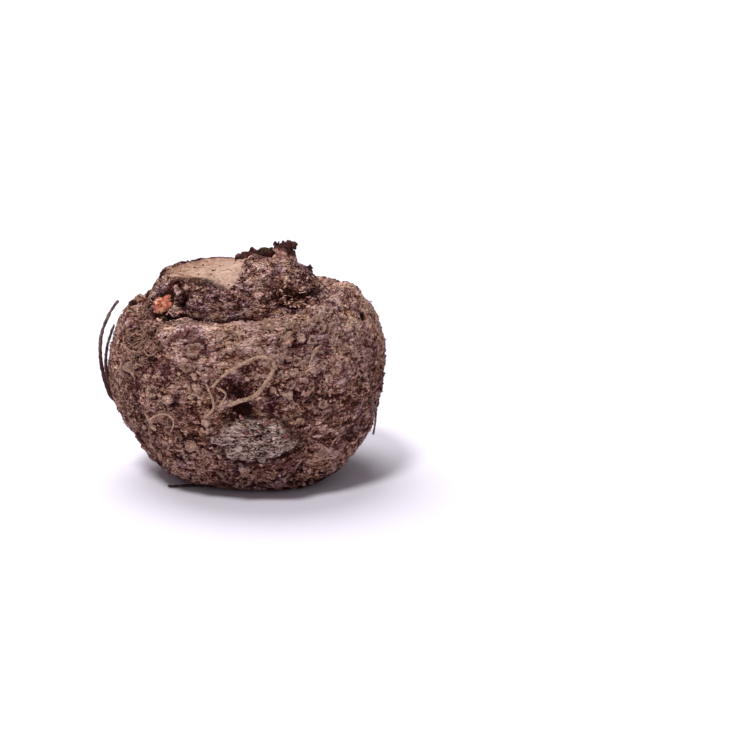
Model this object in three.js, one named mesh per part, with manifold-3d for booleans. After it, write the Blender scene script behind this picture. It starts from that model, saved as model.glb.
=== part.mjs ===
// Elephant foot yam: one whole corm, a squat starchy body with a broad shallow dish on top,
// standing on its flattened base. Millimetres, +Z up, the front faces -Y, +X to the right.
// The origin is at the middle of the footprint of the whole object, on the surface it stands on.
import * as THREE from "three";
import { mergeVertices } from "three/addons/utils/BufferGeometryUtils.js";
import { ImprovedNoise } from "three/addons/math/ImprovedNoise.js";
import Module from "manifold-3d";

const wasm = await Module();
wasm.setup();

// ---- Driving dimensions, in millimetres ----

const BODY_RADIUS = 99; // widest radius of the corm
const LIP_HEIGHT = 136; // top of the lip round the dish, above the base
const CROWN_HEIGHT = 158; // flat scar left by the fallen leaf stalk, above the base
const SCAR_RADIUS = 31; // of that scar
const GROOVE_RADIUS = 71; // of the groove between the mound in the dish and the lip
const GROOVE_DEPTH = 4; // of the groove, below the lip
const LIP_RADIUS = 81; // of the lip
const CROWN_SHIFT = -19; // the mound stands off the middle of the body, to the left
const DEPTH_SHARE = 0.95; // the body is a little narrower from front to back
const LEAN_LEFT = 6; // degrees that the growing axis leans to the left
const LEAN_FORWARD = 4; // degrees that it leans to the front
const SEAT_DEPTH = 5; // how much of the round base is pressed flat
const SKIN_GAP = 0.35; // clear space between the corm and what sits on it

const CORM_DETAIL = 17; // splits of each edge of the icosahedron that the corm is drawn on
const CROWN_DENSITY = 0.12; // draws the corm's points together towards the crown

const radians = THREE.MathUtils.degToRad;
const smoothstep = THREE.MathUtils.smoothstep;

// ---- The corm's form ----

// Outline from the middle of the crown, out over the lip and round to the middle of the base.
const OUTLINE = new THREE.SplineCurve([
  new THREE.Vector2(0, CROWN_HEIGHT - 1.5),
  new THREE.Vector2(SCAR_RADIUS * 0.6, CROWN_HEIGHT - 1),
  new THREE.Vector2(SCAR_RADIUS, CROWN_HEIGHT),
  new THREE.Vector2(SCAR_RADIUS + 6, CROWN_HEIGHT - 5),
  new THREE.Vector2((SCAR_RADIUS + GROOVE_RADIUS) / 2 + 1, (CROWN_HEIGHT + LIP_HEIGHT) / 2 - 3),
  new THREE.Vector2(GROOVE_RADIUS - 8, LIP_HEIGHT - GROOVE_DEPTH + 3),
  new THREE.Vector2(GROOVE_RADIUS, LIP_HEIGHT - GROOVE_DEPTH),
  new THREE.Vector2(LIP_RADIUS - 6, LIP_HEIGHT - 1),
  new THREE.Vector2(LIP_RADIUS, LIP_HEIGHT - 1.5),
  new THREE.Vector2(BODY_RADIUS * 0.91, LIP_HEIGHT * 0.91),
  new THREE.Vector2(BODY_RADIUS * 0.975, LIP_HEIGHT * 0.79),
  new THREE.Vector2(BODY_RADIUS, LIP_HEIGHT * 0.64),
  new THREE.Vector2(BODY_RADIUS * 0.975, LIP_HEIGHT * 0.48),
  new THREE.Vector2(BODY_RADIUS * 0.89, LIP_HEIGHT * 0.31),
  new THREE.Vector2(BODY_RADIUS * 0.74, LIP_HEIGHT * 0.16),
  new THREE.Vector2(BODY_RADIUS * 0.54, LIP_HEIGHT * 0.06),
  new THREE.Vector2(BODY_RADIUS * 0.28, LIP_HEIGHT * 0.012),
  new THREE.Vector2(0, 0),
]);
OUTLINE.arcLengthDivisions = 800;

// Swellings and hollows of the one body. azimuth is in degrees from the front, to the right;
// drop is the share of the outline from the crown's middle (0) to the base's middle (1).
const FORMS = [
  { what: "hump at the right of the scar", azimuth: 72, drop: 0.175, reach: 22, rise: 15 },
  { what: "bud pocket", azimuth: -52, drop: 0.19, reach: 9, rise: -6 },
  { what: "hollow under the hump", azimuth: 47, drop: 0.225, reach: 10, rise: -4 },
  { what: "low back of the lip", azimuth: 125, drop: 0.31, reach: 42, rise: -7 },
  { what: "left shoulder", azimuth: -85, drop: 0.36, reach: 22, rise: -3 },
  { what: "heel at the front right", azimuth: 38, drop: 0.8, reach: 32, rise: 7 },
  { what: "plate of old skin", azimuth: 10, drop: 0.61, reach: 17, rise: 3.5 },
  { what: "hollow over the plate", azimuth: 3, drop: 0.52, reach: 12, rise: -3.5 },
  { what: "flat at the right", azimuth: 100, drop: 0.56, reach: 30, rise: -3 },
  { what: "flat at the lower left", azimuth: -63, drop: 0.61, reach: 27, rise: -5.5 },
  { what: "back hollow", azimuth: -150, drop: 0.55, reach: 26, rise: -4 },
];

// A point on the outline turned to an azimuth, before its swellings, in the growing frame.
function turned(azimuth, radius, height) {
  const angle = radians(azimuth);
  return new THREE.Vector3(radius * Math.sin(angle), -radius * Math.cos(angle) * DEPTH_SHARE, height);
}

const FORM_CENTRES = FORMS.map((form) => {
  const at = OUTLINE.getPointAt(form.drop);
  return turned(form.azimuth, at.x, at.y);
});

function swelling(point) {
  return FORMS.reduce((sum, form, i) => {
    const away = point.distanceTo(FORM_CENTRES[i]) / form.reach;
    return sum + form.rise * Math.exp(-away * away);
  }, 0);
}

const LEAN = new THREE.Matrix4()
  .makeRotationY(radians(-LEAN_LEFT))
  .multiply(new THREE.Matrix4().makeRotationX(radians(LEAN_FORWARD)));

// A point of the skin, or lift above it, as the corm stands.
function skinPoint(azimuth, drop, lift = 0) {
  const at = OUTLINE.getPointAt(THREE.MathUtils.clamp(drop, 0, 1));
  const along = OUTLINE.getTangentAt(THREE.MathUtils.clamp(drop, 0, 1));
  const rise = swelling(turned(azimuth, at.x, at.y)) + lift;
  const point = turned(azimuth, Math.max(0, at.x - along.y * rise), at.y + along.x * rise);
  point.x += CROWN_SHIFT * (1 - smoothstep(drop, 0.08, 0.3));
  point.applyMatrix4(LEAN);
  point.z = Math.max(point.z - SEAT_DEPTH, -lift);
  return point;
}

// The closed skin of the corm, or a shell that is lift larger all round.
function cormGeometry(lift = 0) {
  const made = new THREE.IcosahedronGeometry(1, CORM_DETAIL);
  made.deleteAttribute("normal");
  made.deleteAttribute("uv");
  const merged = mergeVertices(made, 1e-5);
  const place = merged.getAttribute("position");
  for (let i = 0; i < place.count; i++) {
    const way = new THREE.Vector3().fromBufferAttribute(place, i).normalize();
    const share = Math.acos(THREE.MathUtils.clamp(way.z, -1, 1)) / Math.PI;
    const drop = share - CROWN_DENSITY * Math.sin(Math.PI * share);
    const azimuth = THREE.MathUtils.radToDeg(Math.atan2(way.x, -way.y));
    const point = skinPoint(azimuth, drop, lift);
    place.setXYZ(i, point.x, point.y, point.z);
  }
  return merged;
}

// ---- What grows on the corm or clings to it ----

// Roots, each from where it leaves the corm to its tip: [azimuth, drop, lift] over the skin.
// A first lift below zero starts the root inside the corm, which is then cut out of it.
const ROOTS = [
  {
    name: "root_left_long",
    thick: 2.9,
    route: [[-80, 0.545, -2], [-81, 0.527, 1.4], [-81, 0.505, 2.3], [-81, 0.48, 3.2], [-81, 0.448, 4.8],
      [-81, 0.418, 6.8], [-81, 0.393, 8.6], [-81, 0.368, 9.6], [-81, 0.343, 9.9], [-81, 0.32, 10.2],
      [-81, 0.305, 11.2]],
  },
  {
    name: "root_left_short",
    thick: 2.3,
    route: [[-75, 0.5, -2], [-75, 0.48, 1.2], [-75, 0.453, 2.1], [-75, 0.423, 3], [-75, 0.396, 3.7],
      [-76, 0.37, 3.8], [-76, 0.342, 4.3]],
  },
  {
    name: "root_front_loop",
    thick: 2.9,
    route: [[-5, 0.491, -1.8], [-2, 0.487, 2.2], [1, 0.481, 2.9], [5, 0.478, 3.3], [8, 0.466, 3.6],
      [11, 0.449, 3.8], [14, 0.427, 3.9], [15.6, 0.413, 3.8], [15, 0.402, 3.6], [13, 0.394, 3.4],
      [10, 0.39, 3.2], [6.5, 0.394, 3], [2, 0.403, 3], [-3, 0.417, 3.1], [-7, 0.434, 3.3], [-9, 0.445, 3.5]],
  },
  {
    name: "root_front_fork_left",
    thick: 1.9,
    route: [[-15, 0.521, -1.5], [-13, 0.512, 1.1], [-11, 0.503, 1.6], [-9.3, 0.491, 1.7], [-9.4, 0.478, 1.6],
      [-10.2, 0.46, 1.5], [-11.4, 0.438, 1.8]],
  },
  {
    name: "root_front_fork_right",
    thick: 1.8,
    route: [[-7.2, 0.499, -1.4], [-6.8, 0.489, 1.4], [-5.6, 0.476, 2], [-3.8, 0.466, 2.2],
      [-4.6, 0.457, 2.1], [-6.8, 0.45, 1.9]],
  },
  {
    name: "root_curl",
    thick: 1.5,
    route: [[-43, 0.541, -1.4], [-40, 0.531, 1.1], [-37, 0.52, 1.5], [-32.5, 0.51, 1.8], [-29, 0.51, 1.9],
      [-27.3, 0.522, 1.7], [-28, 0.538, 1.4], [-30, 0.552, 1.3]],
  },
  {
    name: "root_front_right",
    thick: 1.6,
    route: [[29.5, 0.434, -1.4], [31, 0.419, 1.3], [32.4, 0.406, 2.2], [34.2, 0.398, 2.3], [37, 0.394, 1.9]],
  },
  {
    name: "root_right_long",
    thick: 2.5,
    route: [[133, 0.53, -2], [130, 0.51, 1.6], [126, 0.485, 2.6], [123, 0.455, 3.2], [122, 0.425, 3.4],
      [124, 0.395, 3], [128, 0.37, 2.6], [134, 0.355, 2.4]],
  },
  {
    name: "root_right_short",
    thick: 2.1,
    route: [[61, 0.56, -1.8], [62, 0.574, 1.4], [65, 0.592, 2.4], [68, 0.615, 3], [70, 0.645, 4],
      [71, 0.675, 5.6]],
  },
  {
    name: "root_back_long",
    thick: 2.5,
    route: [[157, 0.425, -2], [161, 0.431, 1.6], [166, 0.44, 2.6], [172, 0.46, 3.2], [177, 0.485, 3.4],
      [180, 0.515, 3], [180, 0.545, 2.6], [177, 0.57, 2.4]],
  },
  {
    name: "root_back_short",
    thick: 1.9,
    route: [[-153, 0.436, -1.6], [-150, 0.428, 1.4], [-146, 0.415, 2.2], [-141, 0.41, 2.8],
      [-136, 0.415, 3.8], [-132, 0.43, 5.2]],
  },
];

// The root that lies on the ground in front: [x, y, z], from under the corm to its tip.
const GROUND_ROOT = {
  name: "root_on_ground",
  thick: 2.3,
  route: [[-30, -46, 1.4], [-38, -47.5, 1.3], [-46, -47, 1.3], [-53, -48, 1.3], [-60, -49, 1.3], [-63, -49, 1.3]],
};

const ROOT_STEP = 3.5; // length of one step along a root
const ROOT_SIDES = 6;
const ROOT_TIP_SHARE = 0.5; // a root's tip is this share as thick as its foot

const BUD = { azimuth: -52, drop: 0.187, width: 15, height: 7 };

// The torn rest of the leaf stalk's sheath, standing on the crown's hump.
const STUB = { azimuth: 82, drop: 0.162, width: 14, height: 13.5, thick: 7 };
const STUB_OUTLINE = [[-0.7, -0.3], [0.52, -0.3], [0.5, 0.25], [0.48, 0.7], [0.46, 0.93], [0.3, 0.84],
  [0.2, 1], [0, 0.9], [-0.12, 0.99], [-0.26, 0.84], [-0.42, 0.9], [-0.4, 0.6], [-0.5, 0.36], [-0.62, 0.12]];

// The crumbly crust along the back of the scar: lumps that run into each other.
const CRUST = [
  { azimuth: 126, drop: 0.107, size: [11, 7, 7] },
  { azimuth: 110, drop: 0.112, size: [11, 8, 10] },
  { azimuth: 97, drop: 0.118, size: [12, 9, 14] },
  { azimuth: 90, drop: 0.127, size: [9, 9, 17] },
];

// Crumbs of dried soil that are large enough to be pieces of their own.
const CRUMBS = [
  { name: "soil_crumb_left_shoulder", azimuth: -97, drop: 0.297, across: 5 },
  { name: "soil_crumb_left_dish", azimuth: -92, drop: 0.2, across: 5.5 },
  { name: "soil_crumb_left_scar", azimuth: -80, drop: 0.113, across: 5 },
  { name: "soil_crumb_right_slope", azimuth: 80, drop: 0.2, across: 6 },
  { name: "soil_crumb_lower_left", azimuth: -62, drop: 0.612, across: 6 },
  { name: "soil_crumb_back_lip", azimuth: 170, drop: 0.285, across: 7 },
];

const FINISH = {
  skin: new THREE.MeshStandardMaterial({ color: 0x6b554b, roughness: 0.95, metalness: 0 }),
  root: new THREE.MeshStandardMaterial({ color: 0x7d6650, roughness: 0.85, metalness: 0 }),
  bud: new THREE.MeshStandardMaterial({ color: 0xc4644a, roughness: 0.7, metalness: 0 }),
  sheath: new THREE.MeshStandardMaterial({ color: 0x4a352b, roughness: 0.95, metalness: 0 }),
  soil: new THREE.MeshStandardMaterial({ color: 0x2e211b, roughness: 1, metalness: 0 }),
};

function solidOf(geometry) {
  const bare = geometry.clone();
  bare.deleteAttribute("normal");
  bare.deleteAttribute("uv");
  const merged = mergeVertices(bare, 1e-4);
  return new wasm.Manifold(
    new wasm.Mesh({
      numProp: 3,
      vertProperties: merged.getAttribute("position").array,
      triVerts: new Uint32Array(merged.index.array),
    }),
  );
}

function geometryOf(solid) {
  const mesh = solid.getMesh();
  return new THREE.BufferGeometry()
    .setAttribute("position", new THREE.BufferAttribute(mesh.vertProperties, 3))
    .setIndex(new THREE.BufferAttribute(mesh.triVerts, 1));
}

// The room that the corm takes, with a clear gap round it, cut out of what sits on it.
const CORM_ROOM = solidOf(cormGeometry(SKIN_GAP));

// A tube along the curve that thins towards its far end.
function taperedTube(curve, thick) {
  const steps = Math.ceil(curve.getLength() / ROOT_STEP);
  const section = new THREE.Shape(
    Array.from({ length: ROOT_SIDES }, (_, i) => {
      const angle = (2 * Math.PI * i) / ROOT_SIDES;
      return new THREE.Vector2((Math.cos(angle) * thick) / 2, (Math.sin(angle) * thick) / 2);
    }),
  );
  const tube = new THREE.ExtrudeGeometry(section, { steps, extrudePath: curve });
  const line = curve.getSpacedPoints(steps);
  const place = tube.getAttribute("position");
  const point = new THREE.Vector3();
  for (let i = 0; i < place.count; i++) {
    point.fromBufferAttribute(place, i);
    const gaps = line.map((at) => at.distanceToSquared(point));
    const step = gaps.indexOf(Math.min(...gaps));
    point.lerp(line[step], ((1 - ROOT_TIP_SHARE) * step) / steps);
    place.setXYZ(i, point.x, point.y, point.z);
  }
  return tube;
}

function rootGeometry(line, thick) {
  const tube = taperedTube(new THREE.CatmullRomCurve3(line), thick);
  return geometryOf(solidOf(tube).subtract(CORM_ROOM));
}

// Stands a shape made about its own foot, +Z up, on the skin; upright turns it from the skin's
// own direction (0) to straight up (1).
function standing(geometry, azimuth, drop, upright = 0) {
  const foot = skinPoint(azimuth, drop);
  const way = skinPoint(azimuth, drop, 1).sub(foot).normalize();
  const up = new THREE.Vector3(0, 0, 1);
  const turn = new THREE.Quaternion().setFromUnitVectors(up, way.lerp(up, upright).normalize());
  return geometry.applyQuaternion(turn).translate(foot.x, foot.y, foot.z);
}

// An uneven lump with the given full sizes, about its own middle.
function lump(length, width, height, seed) {
  const noise = new ImprovedNoise();
  const made = new THREE.IcosahedronGeometry(1, 2);
  const place = made.getAttribute("position");
  const way = new THREE.Vector3();
  for (let i = 0; i < place.count; i++) {
    way.fromBufferAttribute(place, i);
    const swell = 1 + 0.3 * noise.noise(way.x * 1.7 + seed, way.y * 1.7, way.z * 1.7);
    place.setXYZ(i, (way.x * swell * length) / 2, (way.y * swell * width) / 2, (way.z * swell * height) / 2);
  }
  return made;
}

// The blunt bud, pointing out of its pocket.
function budGeometry() {
  const profile = [[0, -3], [0.7, -3], [0.95, 0], [1, 1.5], [0.93, 3.4], [0.7, 5.2], [0.4, 6.4], [0, 7]];
  const line = profile.map(
    ([share, height]) => new THREE.Vector2((share * BUD.width) / 2, (height * BUD.height) / 7),
  );
  const bud = new THREE.LatheGeometry(line, 14).rotateX(Math.PI / 2);
  return geometryOf(solidOf(standing(bud, BUD.azimuth, BUD.drop)).subtract(CORM_ROOM));
}

// A plate with a ragged top.
function stubGeometry() {
  const outline = STUB_OUTLINE.map(([x, y]) => new THREE.Vector2(x * STUB.width, y * STUB.height));
  const plate = new THREE.ExtrudeGeometry(new THREE.Shape(outline), { depth: STUB.thick, bevelEnabled: false })
    .translate(0, 0, -STUB.thick / 2)
    .rotateX(Math.PI / 2);
  return geometryOf(solidOf(standing(plate, STUB.azimuth, STUB.drop, 1)).subtract(CORM_ROOM));
}

function crustGeometry() {
  const lumps = CRUST.map(({ azimuth, drop, size }, i) => solidOf(standing(lump(...size, i), azimuth, drop, 1)));
  const joined = lumps.reduce((whole, next) => whole.add(next));
  return geometryOf(joined.subtract(CORM_ROOM));
}

function crumbGeometry({ azimuth, drop, across }, seed) {
  const crumb = standing(lump(across, across, across * 0.8, seed), azimuth, drop);
  return geometryOf(solidOf(crumb).subtract(CORM_ROOM));
}

// ---- The yam ----

const yam = new THREE.Group();
const pieces = new THREE.Group();
yam.add(pieces);

function addPiece(name, geometry, finish) {
  const mesh = new THREE.Mesh(geometry, finish);
  mesh.name = name;
  pieces.add(mesh);
}

addPiece("corm", cormGeometry(), FINISH.skin);
addPiece("bud", budGeometry(), FINISH.bud);
addPiece("leaf_sheath_stub", stubGeometry(), FINISH.sheath);
addPiece("soil_crust", crustGeometry(), FINISH.soil);
for (const { name, thick, route } of ROOTS) {
  addPiece(name, rootGeometry(route.map((at) => skinPoint(...at)), thick), FINISH.root);
}
addPiece(
  GROUND_ROOT.name,
  rootGeometry(GROUND_ROOT.route.map((at) => new THREE.Vector3(...at)), GROUND_ROOT.thick),
  FINISH.root,
);
CRUMBS.forEach((crumb, i) => addPiece(crumb.name, crumbGeometry(crumb, i), FINISH.soil));

// The origin goes to the middle of the footprint, on the ground.
const box = new THREE.Box3().setFromObject(pieces, true);
const middle = box.getCenter(new THREE.Vector3());
pieces.position.set(-middle.x, -middle.y, -box.min.z);

export default yam;
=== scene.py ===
"""Elephant foot yam: the looks round its CAD frame.

A squat corm with a shallow dish on top, its leaf scar, bud, dried roots, papery flakes and soil.
Metres, +Z up, the front faces -Y. Sizes written in millimetres go through MM.
"""

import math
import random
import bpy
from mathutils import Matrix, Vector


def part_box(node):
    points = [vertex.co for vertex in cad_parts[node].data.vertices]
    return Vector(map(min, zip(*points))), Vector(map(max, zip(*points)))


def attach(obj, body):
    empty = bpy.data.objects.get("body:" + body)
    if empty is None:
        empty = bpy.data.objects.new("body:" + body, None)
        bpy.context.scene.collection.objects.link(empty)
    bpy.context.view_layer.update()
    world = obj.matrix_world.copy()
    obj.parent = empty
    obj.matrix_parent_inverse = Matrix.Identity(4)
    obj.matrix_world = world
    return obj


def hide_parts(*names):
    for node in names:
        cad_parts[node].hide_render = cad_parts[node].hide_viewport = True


bl_info = {
    "name": "Elephant Foot Yam",
    "version": (1, 0, 0),
    "blender": (4, 5, 0),
    "location": "3D View > Sidebar > Yam",
    "description": "Models an elephant foot yam corm with its skin, roots, bud and soil",
    "category": "Object",
}

import bmesh
import bpy
import numpy as np
from bpy.props import FloatProperty, FloatVectorProperty, IntProperty, PointerProperty
from mathutils import Matrix, Vector, noise
from mathutils.bvhtree import BVHTree
from mathutils.kdtree import KDTree

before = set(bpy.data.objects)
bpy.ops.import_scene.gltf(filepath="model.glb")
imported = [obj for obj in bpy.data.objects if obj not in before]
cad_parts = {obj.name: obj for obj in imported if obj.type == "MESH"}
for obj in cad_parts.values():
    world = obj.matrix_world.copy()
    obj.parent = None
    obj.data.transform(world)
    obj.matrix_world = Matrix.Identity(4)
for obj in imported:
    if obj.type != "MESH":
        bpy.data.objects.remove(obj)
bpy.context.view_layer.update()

MM = 0.001
CORM_LOW, CORM_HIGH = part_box("corm")
CORM_MIDDLE = (CORM_LOW + CORM_HIGH) / 2
CORM_FOOT = Vector((CORM_MIDDLE.x, CORM_MIDDLE.y, 0))
BODY_RADIUS = (CORM_HIGH.x - CORM_LOW.x) / 2
BUD_MIDDLE = sum(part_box("bud"), Vector()) / 2
SEED = 7

# How much larger the bud's rounded copy is made along X, Y and Z.
BUD_SPREAD = (1.3, 1.3, 1.05)

# Places in the tables are in millimetres from CORM_FOOT, the point on the ground under the corm's
# middle: across (to the right), back and up. Azimuths are degrees from the front, to the right.

# The groove round the mound in the dish, and the edge of the leaf scar: (azimuth, reach) from
# a middle.
DISH_MIDDLE = (-9, -3)
GROOVE_OUTLINE = [
    (-180, 60), (-135, 61), (-90, 63.5), (-70, 63), (-54, 62.5), (-46, 62.5), (-36, 59), (-28, 58),
    (-20, 60), (-8, 61), (3, 63), (13, 67), (24, 70), (35, 71), (47, 72.5), (57, 74), (68, 74),
    (80, 71), (95, 68), (120, 64), (150, 61),
]
SCAR_MIDDLE = (-22, -8)
SCAR_OUTLINE = [
    (-180, 30), (-135, 30), (-90, 33), (-58, 31), (-31, 31), (0, 33), (15, 37), (26, 38), (36, 34),
    (51, 29), (62, 27), (90, 25), (135, 28),
]

# Hollows in the skin with painted shade: across, back, up, half width, half height, depth, and how dark
# they are.
SCALES_HOLLOW = ("hollow with dried scales", 35.0, -42, 134.0, 11.5, 7.8, 3.2, 0.70)
HOLLOWS = [
    ("hole beside the bud", -39, -44, 134, 3.8, 5.4, 6.0, 1.0),
    ("under that hole", -37, -48, 129, 4.0, 2.4, 1.0, 0.6),
    ("gap under the bud", -47, -46.5, 122.5, 8.0, 2.6, 1.6, 1.0),
    ("gap right of that", -38, -53, 123.5, 6.0, 2.2, 1.2, 0.9),
    ("left of the bud", -63, -33, 126, 5.0, 6.0, 1.6, 0.7),
    SCALES_HOLLOW,
    ("right of the scales", 52, -32, 139, 8.0, 2.6, 1.4, 0.6),
    ("over the plate of old skin", 3, -91, 70, 7.0, 4.5, 3.0, 0.45),
    ("right of the loop", 24, -90, 71, 7.0, 3.5, 1.0, 0.1),
    ("tear under the bud", -44, -52, 121, 4.0, 2.2, 1.8, 1.0),
    ("tear, further on", -48, -55, 120.5, 3.0, 1.8, 1.8, 1.0),
    ("tear over the edge", -53, -61.5, 119.5, 2.6, 1.7, 1.8, 1.0),
    ("tear down the front", -56.5, -64, 117, 1.9, 2.2, 1.5, 0.95),
    ("end of the tear", -58.5, -65.5, 113, 1.5, 2.4, 1.2, 0.8),
    ("seat of an old root", -70, -58, 108, 17.0, 8.5, 2.2, 0.10),
    ("seat under it", -68, -65, 97, 12.0, 3.2, 1.2, 0.25),
    ("pit on the right lip", 83.2, -32.5, 120.6, 2.6, 3.0, 1.8, 1.0),
    ("pit over the scales", 35.4, -33.9, 146.8, 2.0, 1.6, 1.0, 0.85),
    ("pit behind the scales", 51.2, -16.2, 144.1, 2.0, 1.8, 1.0, 0.85),
    ("left of the scales", 17.8, -50.0, 134.0, 3.6, 1.5, 1.0, 0.75),
]

# Places painted paler or darker: across, back, up, reach, and how much paler.
# Partly painted light and shade (the lit fold, the shaded groove and knob), partly the skin's own tone.
SHADES = [
    ("crown of the fold", 16, -30, 152, 13, 0.08),
    ("right of the fold", 36, -30, 149, 8, 0.08),
    ("right slope", 50, -29, 137, 9, 0.16),
    ("right lip", 60, -30, 134, 9, 0.08),
    ("middle of the lip", 2, -78, 125, 13, 0.08),
    ("under the lip, left", -22, -84, 106, 7, 0.10),
    ("under the lip, middle", 2, -88, 106, 9, 0.09),
    ("under the lip, right", 29, -86, 107, 9, 0.10),
    ("inside the loop", 15, -91, 94, 7, 0.10),
    ("left of the fork", -40, -83, 75, 11, 0.14),
    ("right of the loop", 28, -90, 74, 9, 0.14),
    ("left of the plate", -34, -81, 50, 8, 0.07),
    ("under the plate, left", -11, -85, 39, 8, 0.12),
    ("under the plate", 3, -84, 29, 8, 0.08),
    ("lip under the bud", -46, -69, 118, 8, 0.15),
    ("left of the bud", -62, -44, 122, 9, -0.22),
    ("left shoulder", -54, -71, 101, 12, -0.17),
    ("left side", -60, -70, 75, 8, -0.10),
    ("in the groove", 13, -62, 128, 9, -0.08),
    ("knob over the bud", -44.5, -35, 141, 6, -0.26),
]

# The smooth fold of skin beside the leaf scar: its middle and its reach.
FOLD_MIDDLE = (20, -24, 153)
FOLD_REACH = 21

# The lifted plate of old skin on the front: middle across and up, half width and half height.
PLATE = (11, 48, 25, 15.5)

# Heights between which the corm's wall turns into its top.
TOP_BEGINS = (88 * MM, 106 * MM)

# Root scars that stand out on the front: across, up, radius, and what kind each is.
FRONT_SCARS = [
    (34, 115, 5.2, "disc"),
    (-4, 111, 4.2, "disc"),
    (16, 107, 3.6, "disc"),
    (40, 101, 3.4, "ring"),
    (50, 113, 3.8, "ring"),
    (38, 94, 3.0, "disc"),
    (29, 93, 3.6, "ring"),
    (-21, 60, 3.4, "disc"),
    (-13, 35, 2.8, "disc"),
    (-10, 118, 5.0, "disc"),
    (3, 24, 4.2, "disc"),
    (24, 105, 3.2, "disc"),
    (-74, 91, 5.0, "ring"),
    (-28, 109, 5.8, "ring"),
    (-22, 96, 3.4, "ring"),
    (-26, 84, 4.4, "disc"),
    (-47, 74, 4.0, "disc"),
    (-58, 78, 4.2, "ring"),
    (-49, 60, 5.6, "swirl"),
    (-60, 51, 3.6, "disc"),
    (-32, 40, 5.0, "disc"),
    (-83, 78, 2.6, "disc"),
    (-56, 18, 4.0, "ring"),
    (-53, 90, 3.0, "disc"),
    (-61, 88, 2.6, "disc"),
    (-28, 92, 2.6, "disc"),
]

# Fine fibres on the seats of old roots: across, up, reach, height for its width, how many lie
# combed over the seat, how many arc round its edge and how many swirl round its middle.
FIBRE_SWIRLS = [
    (-70, 108, 17, 0.52, 130, 6, 2),
    (-59, 107, 7, 0.80, 12, 4, 3),
    (-68, 97, 12, 0.30, 22, 5, 0),
    (-49, 60, 8, 0.70, 8, 3, 12),
    (-84, 84, 5, 0.70, 0, 0, 9),
]

# Torn strips of skin along the gap under the bud: (across, back, up) of places that they pass.
TORN_STRIPS = [
    [
        (-57.0, -40.7, 119.9), (-53.9, -43.9, 120.3), (-50.3, -44.5, 122.5), (-47.4, -46.0, 124.2),
        (-44.3, -49.0, 124.1), (-41.4, -49.5, 126.3), (-38.0, -51.0, 127.3),
    ],
    [(-47.7, -50.7, 120.0), (-43.4, -52.7, 121.1), (-38.3, -55.6, 121.7), (-33.2, -58.5, 121.7)],
]

# The CAD nodes that share a finish.
LEFT_ROOTS = ("root_left_long", "root_left_short")
FRONT_ROOTS = (
    "root_front_loop", "root_front_fork_left", "root_front_fork_right", "root_curl", "root_front_right",
)
BACK_ROOTS = ("root_right_long", "root_right_short", "root_back_long", "root_back_short")
CRUMB_NODES = (
    "soil_crumb_left_shoulder", "soil_crumb_left_dish", "soil_crumb_left_scar",
    "soil_crumb_right_slope", "soil_crumb_lower_left", "soil_crumb_back_lip",
)

# How many bits of each kind are strewn on a piece.
SHEATH_TATTERS = 13
SHEATH_CRUMBS = 150
DRIED_SCALES = 170
CRUST_CRUMBS = 320
CLOD_CRUMBS = 22

# The floor is close below these heights, so nothing of the kind is strewn there.
LOWEST_SCAR = 3 * MM
LOWEST_GRAIN = 4 * MM
LOWEST_FLAKE = 5 * MM
LOWEST_CURL = 6 * MM
LOWEST_STRAND = 8 * MM

# How far the floor reaches each way, in metres.
FLOOR_REACH = 30

# What the camera looks at, in millimetres from CORM_FOOT: a point well to the right of the corm.
LOOKED_AT = (93.6, 0, 68.5)

# The width of the camera's sensor, in millimetres.
SENSOR_WIDTH = 36


# ---- Settings ----


class YamSkinSettings(bpy.types.PropertyGroup):
    """Sizes and colours of the skin."""

    lump_height: FloatProperty(
        name="Lump height",
        description="How far the skin's broad lumps stand out",
        default=1.5 * MM,
        unit="LENGTH",
    )
    wrinkle_height: FloatProperty(
        name="Wrinkle height",
        description="How far the wrinkles stand out",
        default=1.0 * MM,
        unit="LENGTH",
    )
    groove_depth: FloatProperty(
        name="Groove depth",
        description="Of the groove round the mound in the dish",
        default=3.0 * MM,
        unit="LENGTH",
    )
    scar_count: IntProperty(
        name="Root scars", description="Small root scars strewn over the skin", default=1050, min=0
    )
    # Deep and dark also colour painted shade: deep in cracks, hollows and pits, dark in sunken places.
    deep: FloatVectorProperty(
        name="Deep",
        description="Colour of cracks and holes",
        subtype="COLOR",
        default=(0.034, 0.008, 0.007),
    )
    dark: FloatVectorProperty(
        name="Dark skin", description="Colour of low places", subtype="COLOR", default=(0.100, 0.027, 0.023)
    )
    brown: FloatVectorProperty(
        name="Brown skin",
        description="Main colour of the skin",
        subtype="COLOR",
        default=(0.280, 0.120, 0.102),
    )
    tan: FloatVectorProperty(
        name="Tan skin",
        description="Colour of rubbed, corky places",
        subtype="COLOR",
        default=(0.54, 0.280, 0.218),
    )
    pale: FloatVectorProperty(
        name="Pale cork",
        description="Colour of root scars and flecks",
        subtype="COLOR",
        default=(0.90, 0.575, 0.505),
    )
    purple: FloatVectorProperty(
        name="Purple tint",
        description="Tint of the purplish patches",
        subtype="COLOR",
        default=(0.86, 0.88, 1.06),
    )
    rust: FloatVectorProperty(
        name="Rusty dirt",
        description="Colour of the orange-brown dirt",
        subtype="COLOR",
        default=(0.34, 0.16, 0.06),
    )
    flesh: FloatVectorProperty(
        name="Leaf scar",
        description="Colour of the smooth leaf scar",
        subtype="COLOR",
        default=(0.68, 0.45, 0.355),
    )


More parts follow.
